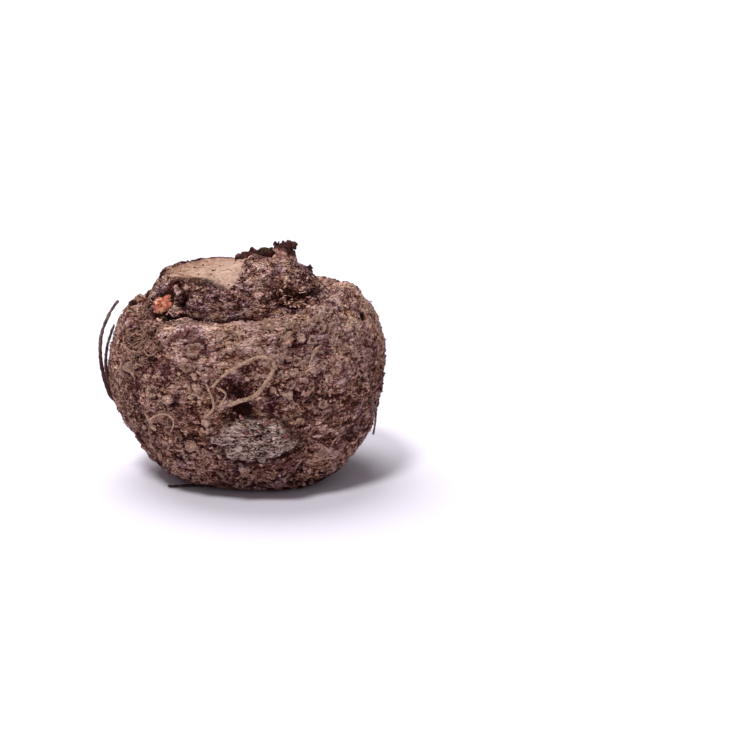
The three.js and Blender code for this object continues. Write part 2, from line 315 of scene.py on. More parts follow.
class YamLooseSettings(bpy.types.PropertyGroup):
    """What clings to the skin."""

    flake_count: IntProperty(name="Flakes", description="Papery flakes of old skin", default=800, min=0)
    fibre_count: IntProperty(
        name="Fibres", description="Fine dry rootlets lying on the skin", default=110, min=0
    )
    curl_count: IntProperty(
        name="Curls", description="Small curled bits of skin and rootlet", default=260, min=0
    )
    crumb_count: IntProperty(
        name="Crumbs", description="Loose crumbs of soil on the skin", default=320, min=0
    )
    flake_size: FloatProperty(
        name="Flake size", description="Radius of a middling flake", default=1.4 * MM, unit="LENGTH"
    )
    fibre: FloatVectorProperty(
        name="Fibres' colour",
        description="Colour of the fine fibres",
        subtype="COLOR",
        default=(0.37, 0.208, 0.150),
    )
    soil: FloatVectorProperty(
        name="Soil", description="Colour of the dried soil", subtype="COLOR", default=(0.060, 0.030, 0.022)
    )


class YamRootSettings(bpy.types.PropertyGroup):
    """Colours of the roots and the bud."""

    olive: FloatVectorProperty(
        name="Front roots",
        description="Colour of the roots on the front",
        subtype="COLOR",
        default=(0.42, 0.262, 0.182),
    )
    grey: FloatVectorProperty(
        name="Other roots",
        description="Colour of the free-standing roots",
        subtype="COLOR",
        default=(0.20, 0.130, 0.105),
    )
    bud: FloatVectorProperty(
        name="Bud",
        description="Colour of the bud's fresh flesh",
        subtype="COLOR",
        default=(0.65, 0.200, 0.120),
    )


class YamStageSettings(bpy.types.PropertyGroup):
    """The camera and the lights."""

    distance: FloatProperty(
        name="Camera distance", description="From the point looked at", default=1.25, unit="LENGTH"
    )
    elevation: FloatProperty(
        name="Camera elevation", description="Above the horizon", default=math.radians(14), subtype="ANGLE"
    )
    view_width: FloatProperty(
        name="View width", description="Width that the camera takes in", default=0.54, unit="LENGTH"
    )
    sky_light: FloatProperty(
        name="Sky light", description="Strength of the light from all round", default=0.27
    )
    top_light: FloatProperty(
        name="Top light", description="Strength of the broad light overhead", default=2.1
    )
    front_light: FloatProperty(
        name="Front light", description="Strength of the light at the front left", default=1.75
    )


# ---- Shader helpers ----


class Sock:
    """A socket of a shader tree, with arithmetic on values."""

    def __init__(self, shader, socket):
        self.shader = shader
        self.socket = socket

    def _math(self, operation, *values):
        return self.shader.node("ShaderNodeMath", {"operation": operation}, dict(enumerate(values)))

    def __add__(self, other):
        return self._math("ADD", self, other)

    __radd__ = __add__

    def __sub__(self, other):
        return self._math("SUBTRACT", self, other)

    def __rsub__(self, other):
        return self._math("SUBTRACT", other, self)

    def __mul__(self, other):
        return self._math("MULTIPLY", self, other)

    __rmul__ = __mul__

    def __abs__(self):
        return self._math("ABSOLUTE", self)

    def clamp(self):
        """The same value, but no less than 0 and no more than 1."""
        settings = {"operation": "ADD", "use_clamp": True}
        return self.shader.node("ShaderNodeMath", settings, {0: self, 1: 0.0})

    def band(self, low, high):
        """0 below low, 1 above high, smooth between."""
        return self.shader.node(
            "ShaderNodeMapRange",
            {"interpolation_type": "SMOOTHSTEP"},
            {"Value": self, "From Min": low, "From Max": high, "To Min": 0.0, "To Max": 1.0},
        )

    def window(self, rise, fall):
        """1 from the end of the band rise to the start of the band fall."""
        return self.band(*rise) * (1 - self.band(*fall))

    def near(self, centre, close, far):
        """1 up to close from the centre, 0 farther than far from it."""
        return 1 - abs(self - centre).band(close, far)


class Shader:
    """A material made from nodes."""

    def __init__(self, name, roughness=0.9, shine=0.04):
        self.material = bpy.data.materials.new(name)
        self.material.use_nodes = True
        self.tree = self.material.node_tree
        self.surface = self.tree.nodes["Principled BSDF"]
        self.surface.inputs["Roughness"].default_value = roughness
        self.surface.inputs["Specular IOR Level"].default_value = shine
        self.place = self.node("ShaderNodeTexCoord", {}, {}, "Object")

    def node(self, kind, settings, sockets, out=0):
        """Adds a node: its settings are set first, then the values or links of its sockets."""
        made = self.tree.nodes.new(kind)
        for key, value in settings.items():
            if key == "stops":
                while len(made.color_ramp.elements) < len(value):
                    made.color_ramp.elements.new(0.5)
                for element, (place, colour) in zip(made.color_ramp.elements, value):
                    element.position = place
                    element.color = rgba(colour)
            else:
                setattr(made, key, value)
        for key, value in sockets.items():
            if isinstance(value, Sock):
                self.tree.links.new(value.socket, made.inputs[key])
            else:
                made.inputs[key].default_value = value
        return Sock(self, made.outputs[out])

    def attribute(self, name, out="Fac"):
        return self.node("ShaderNodeAttribute", {"attribute_name": name}, {}, out)

    def noise(self, size, detail=4.0, rough=0.55, distortion=0.0, at=None, seed=0.0):
        """Noise from 0 to 1 whose features are about size across, in metres."""
        return self.node(
            "ShaderNodeTexNoise",
            {"noise_dimensions": "4D"},
            {
                "Vector": at or self.place,
                "W": seed,
                "Scale": 1 / size,
                "Detail": detail,
                "Roughness": rough,
                "Distortion": distortion,
            },
            "Fac",
        )

    def lines(self, size, detail, rough, distortion, at, seed, widths):
        """Thin wandering lines, 1 where the noise is halfway; widths are how near it has to be."""
        return self.noise(size, detail, rough, distortion, at=at, seed=seed).near(0.5, *widths)

    def axis(self, name):
        """The place along X, Y or Z."""
        return self.node("ShaderNodeSeparateXYZ", {}, {"Vector": self.place}, name)

    def stretched(self, *by):
        """The place with each axis multiplied, so that a pattern is squeezed along it."""
        return self.node("ShaderNodeVectorMath", {"operation": "MULTIPLY"}, {0: self.place, 1: by})

    def warped(self, size, reach, seed=0.0, at=None):
        """Coordinates pushed about by noise, by up to reach."""
        start = at or self.place
        push = self.node(
            "ShaderNodeTexNoise",
            {"noise_dimensions": "4D"},
            {"Vector": start, "W": seed, "Scale": 1 / size, "Detail": 2.0},
            "Color",
        )
        half = (0.5, 0.5, 0.5)
        centred = self.node("ShaderNodeVectorMath", {"operation": "SUBTRACT"}, {0: push, 1: half})
        return self.node(
            "ShaderNodeVectorMath",
            {"operation": "MULTIPLY_ADD"},
            {0: centred, 1: (reach, reach, reach), 2: start},
        )

    def cells(self, size, at, feature="F1", out="Distance"):
        return self.node(
            "ShaderNodeTexVoronoi", {"feature": feature}, {"Vector": at, "Scale": 1 / size}, out
        )

    def cell_value(self, size, at):
        """One random value from 0 to 1 for each cell."""
        colour = self.cells(size, at, out="Color")
        return self.node("ShaderNodeSeparateColor", {}, {"Color": colour}, "Red")

    def ramp(self, factor, *stops):
        return self.node("ShaderNodeValToRGB", {"stops": stops}, {"Fac": factor}, "Color")

    def mix(self, factor, low, high, blend="MIX"):
        """The colour low where the factor is 0, and high where it is 1."""
        settings = {"data_type": "RGBA", "blend_type": blend}
        return self.node("ShaderNodeMix", settings, {0: factor, 6: rgba(low), 7: rgba(high)}, 2)

    def tint(self, factor, colour, tint):
        return self.mix(factor, colour, tint, "MULTIPLY")

    def bump(self, height, depth, strength=1.0, under=None):
        sockets = {"Height": height, "Distance": depth, "Strength": strength}
        if under is not None:
            sockets["Normal"] = under
        return self.node("ShaderNodeBump", {}, sockets)

    def finish(self, colour, normal=None, roughness=None):
        self.tree.links.new(colour.socket, self.surface.inputs["Base Color"])
        if normal is not None:
            self.tree.links.new(normal.socket, self.surface.inputs["Normal"])
        if roughness is not None:
            self.tree.links.new(roughness.socket, self.surface.inputs["Roughness"])
        return self.material


def rgba(colour):
    """A linked colour as it is, and any other with an alpha of 1."""
    if isinstance(colour, Sock):
        return colour
    return (*tuple(colour)[:3], 1.0)


# ---- Mesh helpers ----


def add_object(name, data):
    obj = bpy.data.objects.new(name, data)
    bpy.context.scene.collection.objects.link(obj)
    return obj


def applied(obj):
    """The object's mesh with its modifiers applied, as a plain object of the same name."""
    depsgraph = bpy.context.evaluated_depsgraph_get()
    mesh = bpy.data.meshes.new_from_object(obj.evaluated_get(depsgraph))
    name = obj.name
    old = obj.data
    bpy.data.objects.remove(obj)
    if isinstance(old, bpy.types.Mesh):
        bpy.data.meshes.remove(old)
    else:
        bpy.data.curves.remove(old)
    mesh.name = name
    return add_object(name, mesh)


def rounded_copy(node, name, levels):
    """A merged copy of a CAD node's mesh, rounded by subdivision."""
    bm = bmesh.new()
    bm.from_mesh(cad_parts[node].data)
    bmesh.ops.remove_doubles(bm, verts=bm.verts, dist=0.01 * MM)
    mesh = bpy.data.meshes.new(name)
    bm.to_mesh(mesh)
    bm.free()
    obj = add_object(name, mesh)
    rounding = obj.modifiers.new("Rounding", "SUBSURF")
    rounding.levels = rounding.render_levels = levels
    return applied(obj)


def settle(bm, mesh, material):
    """Ends the work on a bmesh: it becomes the mesh, smooth, with the material."""
    bm.to_mesh(mesh)
    bm.free()
    mesh.shade_smooth()
    mesh.materials.append(material)


def object_from(bm, name, material):
    mesh = bpy.data.meshes.new(name)
    settle(bm, mesh, material)
    return add_object(name, mesh)


def read_points(mesh):
    """Places and normals of the mesh's points, as arrays."""
    places = np.empty(len(mesh.vertices) * 3)
    mesh.vertices.foreach_get("co", places)
    normals = np.empty(len(mesh.vertices) * 3)
    mesh.vertex_normals.foreach_get("vector", normals)
    return places.reshape(-1, 3), normals.reshape(-1, 3)


def write_points(mesh, places):
    mesh.vertices.foreach_set("co", places.ravel())
    mesh.update()


def write_attribute(mesh, name, values):
    """Stores a number, or a direction, for each of the mesh's points."""
    kind, key = ("FLOAT", "value") if values.ndim == 1 else ("FLOAT_VECTOR", "vector")
    layer = mesh.attributes.new(name, kind, "POINT")
    layer.data.foreach_set(key, np.ascontiguousarray(values, dtype=np.float32).ravel())


def read_attribute(mesh, name):
    values = np.empty(len(mesh.vertices), dtype=np.float32)
    mesh.attributes[name].data.foreach_get("value", values)
    return values


def between(low, high, share):
    """The value at that share of the way from low to high."""
    return low + (high - low) * share


def smoothstep(values, low, high):
    """0 up to low, 1 from high on, smooth between."""
    share = np.clip((values - low) / (high - low), 0, 1)
    return share * share * (3 - 2 * share)


def hill(values, width):
    """1 at 0, falling off to both sides over about that width."""
    return np.exp(-((values / width) ** 2))


def fractal(places, size, octaves, seed):
    """Fractal noise, about -1 to 1, at each place; size is the width of its largest features."""
    offset = Vector((seed * 13.7, seed * 7.1, -seed * 9.3))
    total = np.zeros(len(places))
    weight, scale = 1.0, 1.0 / size
    for _ in range(octaves):
        total += weight * np.array([noise.noise(Vector(p) * scale + offset) for p in places.tolist()])
        weight *= 0.55
        scale *= 2.03
        offset = offset + Vector((3.1, 5.7, 1.9))
    return total


def roughen(obj, height, size, octaves, seed, floor=None):
    """Pushes the object's points in and out by noise; none goes below the floor's height."""
    places, normals = read_points(obj.data)
    moved = places + normals * (height * fractal(places, size, octaves, seed))[:, None]
    if floor is not None:
        moved[:, 2] = np.maximum(moved[:, 2], floor)
    write_points(obj.data, moved)
    obj.data.shade_smooth()


def thicken(obj, by):
    """Makes good what rounding took off a thin shape."""
    places, normals = read_points(obj.data)
    write_points(obj.data, places + normals * by)


def piece(obj, slot, *nodes):
    """The piece moves with the one body and stands for the nodes, which it hides. The slot is not used."""
    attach(obj, "root")
    if nodes:
        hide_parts(*nodes)


# ---- The skin ----


class Skin:
    """The corm's skin, for finding places on it."""

    def __init__(self, obj):
        self.mesh = obj.data
        self.places, self.normals = read_points(self.mesh)
        self.bvh = BVHTree.FromObject(obj, bpy.context.evaluated_depsgraph_get())

    def nearest(self, place):
        """The skin's point and normal nearest to a place."""
        found, normal, _, _ = self.bvh.find_nearest(place)
        return found, normal

    def from_front(self, across, up):
        """The skin's point and normal seen straight from the front."""
        start = Vector((CORM_FOOT.x + across * MM, -1, up * MM))
        place, normal, _, _ = self.bvh.ray_cast(start, Vector((0, 1, 0)))
        return place, normal

    def any_place(self, rng, avoid=None):
        """A point of the skin picked by chance, and its normal; avoid marks points that won't do."""
        i = rng.randrange(len(self.places))
        while avoid is not None and avoid[i]:
            i = rng.randrange(len(self.places))
        return Vector(self.places[i]), Vector(self.normals[i])


class CarvedSkin(Skin):
    """Heights and colour fields over the skin, gathered point by point before the skin is moved."""

    def __init__(self, obj):
        super().__init__(obj)
        count = len(self.places)
        self.height = np.zeros(count)
        # dark holds painted shade; shade holds painted light and shade, and the skin's own tone.
        self.fields = {name: np.zeros(count) for name in ("dark", "shade", "ring_tone", "ring_hollow")}
        self.fields["ring_way"] = np.full(count, 3.0)
        self.tree = KDTree(count)
        for i, place in enumerate(self.places.tolist()):
            self.tree.insert(place, i)
        self.tree.balance()

    def around(self, centre, reach):
        """Indices of the points within reach, and their offsets from the centre."""
        index = np.array([i for _, i, _ in self.tree.find_range(centre, reach)], dtype=int)
        return index, self.places[index] - np.array(centre)

    # Painted shade: a point keeps the darkest that any hollow, moat, plate edge or swirl paints on it.
    def paint_shade(self, index, values):
        dark = self.fields["dark"]
        dark[index] = np.maximum(dark[index], values)


def reach_towards(outline, azimuths):
    """How far an outline of (azimuth, reach) pairs reaches towards each azimuth."""
    grid = np.arange(-180, 180, 3.0)
    known = np.array(outline, float)
    rough = np.interp(grid, known[:, 0], known[:, 1], period=360)
    kernel = np.array([1, 2, 3, 2, 1]) / 9
    smooth = np.convolve(np.concatenate([rough[-2:], rough, rough[:2]]), kernel, "valid")
    return np.interp(azimuths, grid, smooth, period=360) * MM


def polar(places, middle):
    """Azimuth and reach of each place about a middle that is given across and back."""
    across = places[:, 0] - CORM_FOOT.x - middle[0] * MM
    back = places[:, 1] - CORM_FOOT.y - middle[1] * MM
    return np.degrees(np.arctan2(across, -back)), np.hypot(across, back)


def tangents(normal):
    """Two directions along a surface: one level, one up or down it."""
    side = normal.cross(Vector((0, 0, 1)))
    if side.length < 0.05:
        side = Vector((1, 0, 0))
    side.normalize()
    return side, normal.cross(side).normalized()


def add_root_scar(skin, place, normal, radius, kind, rng, darkest=0.0):
    """A mark that a fallen root left: a corky disc, a ring round a pit, a small pock or a swirl."""
    index, offsets = skin.around(place, radius * 2.4)
    if not len(index):
        return
    side, up = tangents(normal)
    x, y = offsets @ np.array(side), offsets @ np.array(up)
    angle = np.arctan2(y, x)
    squash = rng.uniform(0.55, 1.0)
    turn = rng.uniform(0, math.tau)
    waves = 0
    for lobes in (2, 3, 5):
        waves = waves + rng.uniform(-0.18, 0.18) * np.cos(lobes * angle + rng.uniform(0, math.tau))
    stretch = 1 + (1 / squash - 1) * np.abs(np.sin(angle - turn))
    share = np.hypot(x, y) / radius * stretch * (1 + waves)
    inside = 1 - smoothstep(share, 0.8, 1.15)
    rim = hill(share - 0.85, 0.22)
    size = (radius + 1 * MM) / (4 * MM)
    tone = darkest + (1 - darkest) * rng.random() ** 0.75
    if kind == "swirl":
        turns = np.cos(share * 16 + 1.6 * np.cos(angle * 2 + turn))
        skin.height[index] += MM * inside * (0.5 * turns + 0.6)
        # Painted shade under the swirl's fibres, darkest in the troughs between its ridges.
        skin.paint_shade(index, inside * (0.35 + 0.35 * np.clip(-turns, 0, 1)))
        return
    if kind == "disc":
        hollow = 0.0
        lift = 1.0 * inside + 0.5 * rim - 0.5 * hill(share, 0.35) - 0.6 * hill(share - 1.3, 0.2)
    elif kind == "ring":
        hollow = rng.uniform(0.3, 0.8)
        lift = 1.4 * rim - 1.2 * hill(share, 0.5) - 0.6 * hill(share - 1.35, 0.2)
    else:
        hollow = 1.0
        lift = 0.25 * rim - 0.8 * hill(share, 0.7)
    skin.height[index] += MM * size * lift
    nearer = share < skin.fields["ring_way"][index]
    for name, values in (("ring_way", share[nearer]), ("ring_tone", tone), ("ring_hollow", hollow)):
        skin.fields[name][index[nearer]] = values


def strew_root_scars(skin, count):
    """Root scars all over the body; none in the dish or underneath."""
    rng = random.Random(SEED)
    placed = []
    in_dish = skin.fields["dish"]
    crowd = 0.45 + fractal(skin.places, 30 * MM, 2, 14.0)
    for across, up, radius, kind in FRONT_SCARS:
        place, normal = skin.from_front(across, up)
        if place is not None:
            placed.append((place, radius * MM))
            add_root_scar(skin, place, normal, radius * MM, kind, rng, darkest=0.6)
    wanted = len(placed) + count
    for _ in range(count * 20):
        if len(placed) == wanted:
            break
        i = rng.randrange(len(skin.places))
        place, normal = Vector(skin.places[i]), Vector(skin.normals[i])
        radius = rng.choice((1.3, 1.6, 1.9, 2.3, 2.8, 3.5)) * MM
        if in_dish[i] > 0.2 or place.z < LOWEST_SCAR or crowd[i] < rng.random():
            continue
        if any((place - other).length < (radius + reach) * 0.85 for other, reach in placed):
            continue
        placed.append((place, radius))
        kind = rng.choice(("disc", "disc", "ring", "ring", "pock"))
        add_root_scar(skin, place, normal, radius, kind, rng)


def add_hollows(skin):
    """Sinks the skin at each of the hollows and paints shade into it."""
    for _, across, back, up, half_width, half_height, depth, dark in HOLLOWS:
        centre, normal = skin.nearest(CORM_FOOT + Vector((across, back, up)) * MM)
        index, offsets = skin.around(centre, max(half_width, half_height) * 2.4 * MM)
        side, along = tangents(normal)
        x, y = offsets @ np.array(side) / MM, offsets @ np.array(along) / MM
        wobble = 0.35 * fractal(skin.places[index], 5 * MM, 2, across)
        share = np.hypot(x / half_width, y / half_height) + wobble
        skin.height[index] -= depth * MM * hill(share, 0.9)
        skin.paint_shade(index, dark * (1 - smoothstep(share, 0.55, 1.35)))


def add_shades(skin):
    """Notes how much paler or darker the skin is at each of the shades."""
    for _, across, back, up, reach, paler in SHADES:
        centre, _ = skin.nearest(CORM_FOOT + Vector((across, back, up)) * MM)
        index, offsets = skin.around(centre, reach * 2 * MM)
        away = np.linalg.norm(offsets, axis=1) / MM
        wobble = 0.4 * fractal(skin.places[index], 9 * MM, 2, up)
        skin.fields["shade"][index] += paler * hill(away / reach + wobble, 0.85)


def shape_groove(skin, depth):
    """The groove round the mound in the dish, with its crack and lip, and the field of the dish."""
    places = skin.places
    azimuth, reach = polar(places, DISH_MIDDLE)
    groove_way = reach - reach_towards(GROOVE_OUTLINE, azimuth)
    rising = smoothstep(places[:, 2], *TOP_BEGINS)
    top = rising * (skin.normals[:, 2] > -0.2)
    front = 1 - 0.55 * smoothstep(np.abs(azimuth - 5), 85, 125)
    deep = 1.0 - 1.5 * smoothstep(azimuth, -60, -40) * (1 - smoothstep(azimuth, -12, 8))
    deep = deep * (1 - 0.45 * smoothstep(azimuth, 12, 40))
    deep = deep * (1 - 0.6 * smoothstep(-azimuth, 52, 66) * smoothstep(azimuth, -140, -110))
    skin.height -= depth * hill(groove_way, 5.0 * MM) * front * top * deep
    flat_right = 1 - 0.85 * smoothstep(azimuth, 25, 60)
    skin.height += 0.8 * MM * hill(groove_way - 10 * MM, 6 * MM) * front * top * flat_right

    # The crack in the groove is a narrow line, but gapes under the bud.
    wobble = 1.5 * MM * fractal(places, 9 * MM, 3, 8.0)
    gaping = hill(azimuth + 37, 11)
    crack_way = np.abs(groove_way + wobble) / (0.75 * MM + 0.7 * MM * gaping)
    lip = top * smoothstep(azimuth, -58, -48) * (1 - smoothstep(azimuth, 16, 50))
    crack_way = np.where(lip > 0.02, crack_way / np.maximum(lip, 0.02), 4.0).clip(0, 4)
    skin.height -= MM * (1.5 + 1.4 * gaping) * hill(crack_way, 1.0)
    skin.height += MM * (0.7 + 0.9 * gaping) * hill(crack_way - 1.9, 0.6)
    skin.fields.update(
        groove_way=groove_way / MM,
        crack_way=crack_way,
        gaping=gaping * rising,
        lip=lip,
        dish=(1 - smoothstep(groove_way, -5 * MM, 3 * MM)) * top,
    )


def shape_leaf_scar(skin):
    """The leaf scar's rim and the fold beside it. Returns where the scar's smooth flesh is."""
    places = skin.places
    azimuth, reach = polar(places, SCAR_MIDDLE)
    ragged = 1.6 * MM * fractal(places, 7 * MM, 3, 1.0)
    scar_way = reach - reach_towards(SCAR_OUTLINE, azimuth) + ragged
    scar_way = np.where(places[:, 2] > 125 * MM, scar_way, 30 * MM)
    beside = smoothstep(azimuth, 38, 60) * (1 - smoothstep(azimuth, 120, 150))
    rise = 2.8 * MM * smoothstep(scar_way, -0.5 * MM, 4 * MM) * hill(scar_way - 4 * MM, 15 * MM)
    skin.height += rise * beside
    left = 1 - smoothstep(np.abs(azimuth + 80), 40, 70)
    knobs = 0.5 + fractal(places, 6 * MM, 2, 12.0)
    skin.height += 1.8 * MM * hill(scar_way - 3 * MM, 3 * MM) * left * knobs
    skin.fields["scar_way"] = scar_way / MM
    return 1 - smoothstep(scar_way, -1.2 * MM, 0.8 * MM)


def shape_plate(skin):
    """The lifted plate of old skin: steep edges and a crumpled face."""
    across, up, half_width, half_height = PLATE
    places = skin.places
    x = (places[:, 0] - CORM_FOOT.x) / MM - across
    z = places[:, 2] / MM - up
    lobes = 0.22 * fractal(places, 15 * MM, 3, 9.0)
    share = np.hypot(x / half_width, z / half_height) + lobes
    share = np.where(places[:, 1] < CORM_FOOT.y - 40 * MM, share, 3.0)
    way = (share - 1).clip(-1, 2)
    crumple = 1 - 2 * np.abs(fractal(places, 6 * MM, 3, 10.0))
    on = 1 - smoothstep(way, -0.08, 0.04)
    skin.height += MM * on * (1.2 + 1.5 * crumple)
    # Painted shadow along the outside of the plate's lifted edge.
    skin.paint_shade(slice(None), 0.8 * hill(way - 0.12, 0.09))
    skin.fields["plate_way"] = way


def flow_over(places):
    """Coordinates that run round the corm and down its side.

    A pattern on them is stretched round the corm on its walls, and less so on its top.
    """
    azimuth, reach = polar(places, DISH_MIDDLE)
    around = np.radians(azimuth)
    down = np.arctan2(reach, places[:, 2] - 62 * MM)
    share = np.clip((down - 0.5) / 0.5, 0, 1)
    stretched = 0.9 * down + 1.7 * (0.5 * (share**3 - share**4 / 2) + np.maximum(down - 1.0, 0))
    wave = 13 * MM * fractal(places, 40 * MM, 2, 11.0)
    out = reach + (BODY_RADIUS - reach) * smoothstep(down, 0.6, 1.1)
    return np.stack([out * np.sin(around), -out * np.cos(around), BODY_RADIUS * stretched + wave], axis=1)


def shape_skin(obj, settings):
    """Moves the rounded corm's points to the real skin, and writes the fields that its colours follow."""
    skin = CarvedSkin(obj)
    places = skin.places
    flow = flow_over(places)
    shape_groove(skin, settings.groove_depth)
    flesh = shape_leaf_scar(skin)
    shape_plate(skin)
    formed = skin.height.copy()

    # Broad lumps, then knots, then wrinkles that run round the body, or round the dish.
    in_dish = skin.fields["dish"]
    broad = fractal(places, 34 * MM, 2, 2.0)
    knots = fractal(places, 12 * MM, 3, 3.0)
    wrinkles = 1 - 2 * np.abs(fractal(flow, 11 * MM, 3, 4.0))
    ledges = 1 - 2 * np.abs(fractal(places * np.array([1.0, 1.0, 2.6]), 11 * MM, 3, 25.0))
    wrinkles = wrinkles * (1 - in_dish) + ledges * in_dish
    grain = fractal(places, 4 * MM, 3, 6.0)
    low = 1 - smoothstep(places[:, 2], 25 * MM, 75 * MM)
    from_fold = places - np.array(CORM_FOOT + Vector(FOLD_MIDDLE) * MM)
    fold = hill(np.linalg.norm(from_fold, axis=1) / MM / FOLD_REACH, 0.9)
    bare = (1 - flesh) * (1 - 0.65 * fold)
    skin.height += bare * (
        settings.lump_height * broad * (1 - 0.5 * in_dish)
        + 1.5 * MM * knots * (1 - 0.6 * in_dish)
        + settings.wrinkle_height * (wrinkles - 0.35) * (0.45 + 0.55 * np.maximum(low, in_dish))
        + 0.4 * MM * grain * (1 - 0.4 * in_dish)
    )
    skin.height += flesh * 0.45 * MM * fractal(places, 6 * MM, 3, 7.0)
    strew_root_scars(skin, settings.scar_count)
    add_hollows(skin)
    add_shades(skin)
    add_bud_pocket(skin)
    seat_pieces(skin)

    # Nothing goes below the floor, and the resting face stays flat.
    resting = smoothstep(places[:, 2], 0.2 * MM, 7 * MM)
    moved = places + skin.normals * (skin.height * resting)[:, None]
    moved[:, 2] = np.maximum(moved[:, 2], 0)

    # The shader paints raised relief paler and sunken relief darker: painted light and shade.
    fine = skin.height - 0.7 * formed - bare * (0.7 * settings.lump_height * broad + 0.8 * MM * knots)
    relief = np.clip(0.5 + fine / (4.5 * MM), 0, 0.85)
    skin.fields.update(relief=relief, fold=fold, flow=flow)
    for name, values in skin.fields.items():
        write_attribute(skin.mesh, name, values)
    write_points(skin.mesh, moved)


def add_bud_pocket(skin):
    """A moat round the bud's foot with painted shade in it, and a low wall round that."""
    index, offsets = skin.around(BUD_MIDDLE, 22 * MM)
    away = np.linalg.norm(offsets, axis=1) / MM
    wobble = 2.2 * fractal(skin.places[index], 6 * MM, 2, 13.0)
    skin.height[index] -= 1.2 * MM * hill(away + wobble - 8.5, 3.0)
    skin.height[index] += 1.2 * MM * hill(away + wobble - 14, 2.2)
    skin.paint_shade(index, 0.85 * hill(away + wobble - 8, 3.4))


def seat_pieces(skin):
    """Lifts the skin to meet every CAD piece that grows on it or clings to it."""
    feet = []
    for name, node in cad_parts.items():
        if name == "corm":
            continue
        for vertex in node.data.vertices:
            _, _, _, gap = skin.bvh.find_nearest(vertex.co)
            if gap < 0.7 * MM:
                feet.append(vertex.co.copy())
    tree = KDTree(len(feet))
    for i, foot in enumerate(feet):
        tree.insert(foot, i)
    tree.balance()
    gaps = np.array([tree.find(place)[2] for place in skin.places.tolist()])
    share = hill(gaps, 2.4 * MM)
    skin.height += share * (0.7 * MM - skin.height)


# The tones at which the skin has each of its colours, and its earthy colours, which follow the deep.
SKIN_TONES = (0.10, 0.30, 0.50, 0.70, 0.92)
EARTHY_COLOURS = ((0.100, 0.030, 0.019), (0.285, 0.121, 0.083), (0.57, 0.302, 0.172), (0.88, 0.58, 0.42))


def skin_colours(settings):
    """The skin's colours, from its cracks to its pale cork."""
    return settings.deep, settings.dark, settings.brown, settings.tan, settings.pale


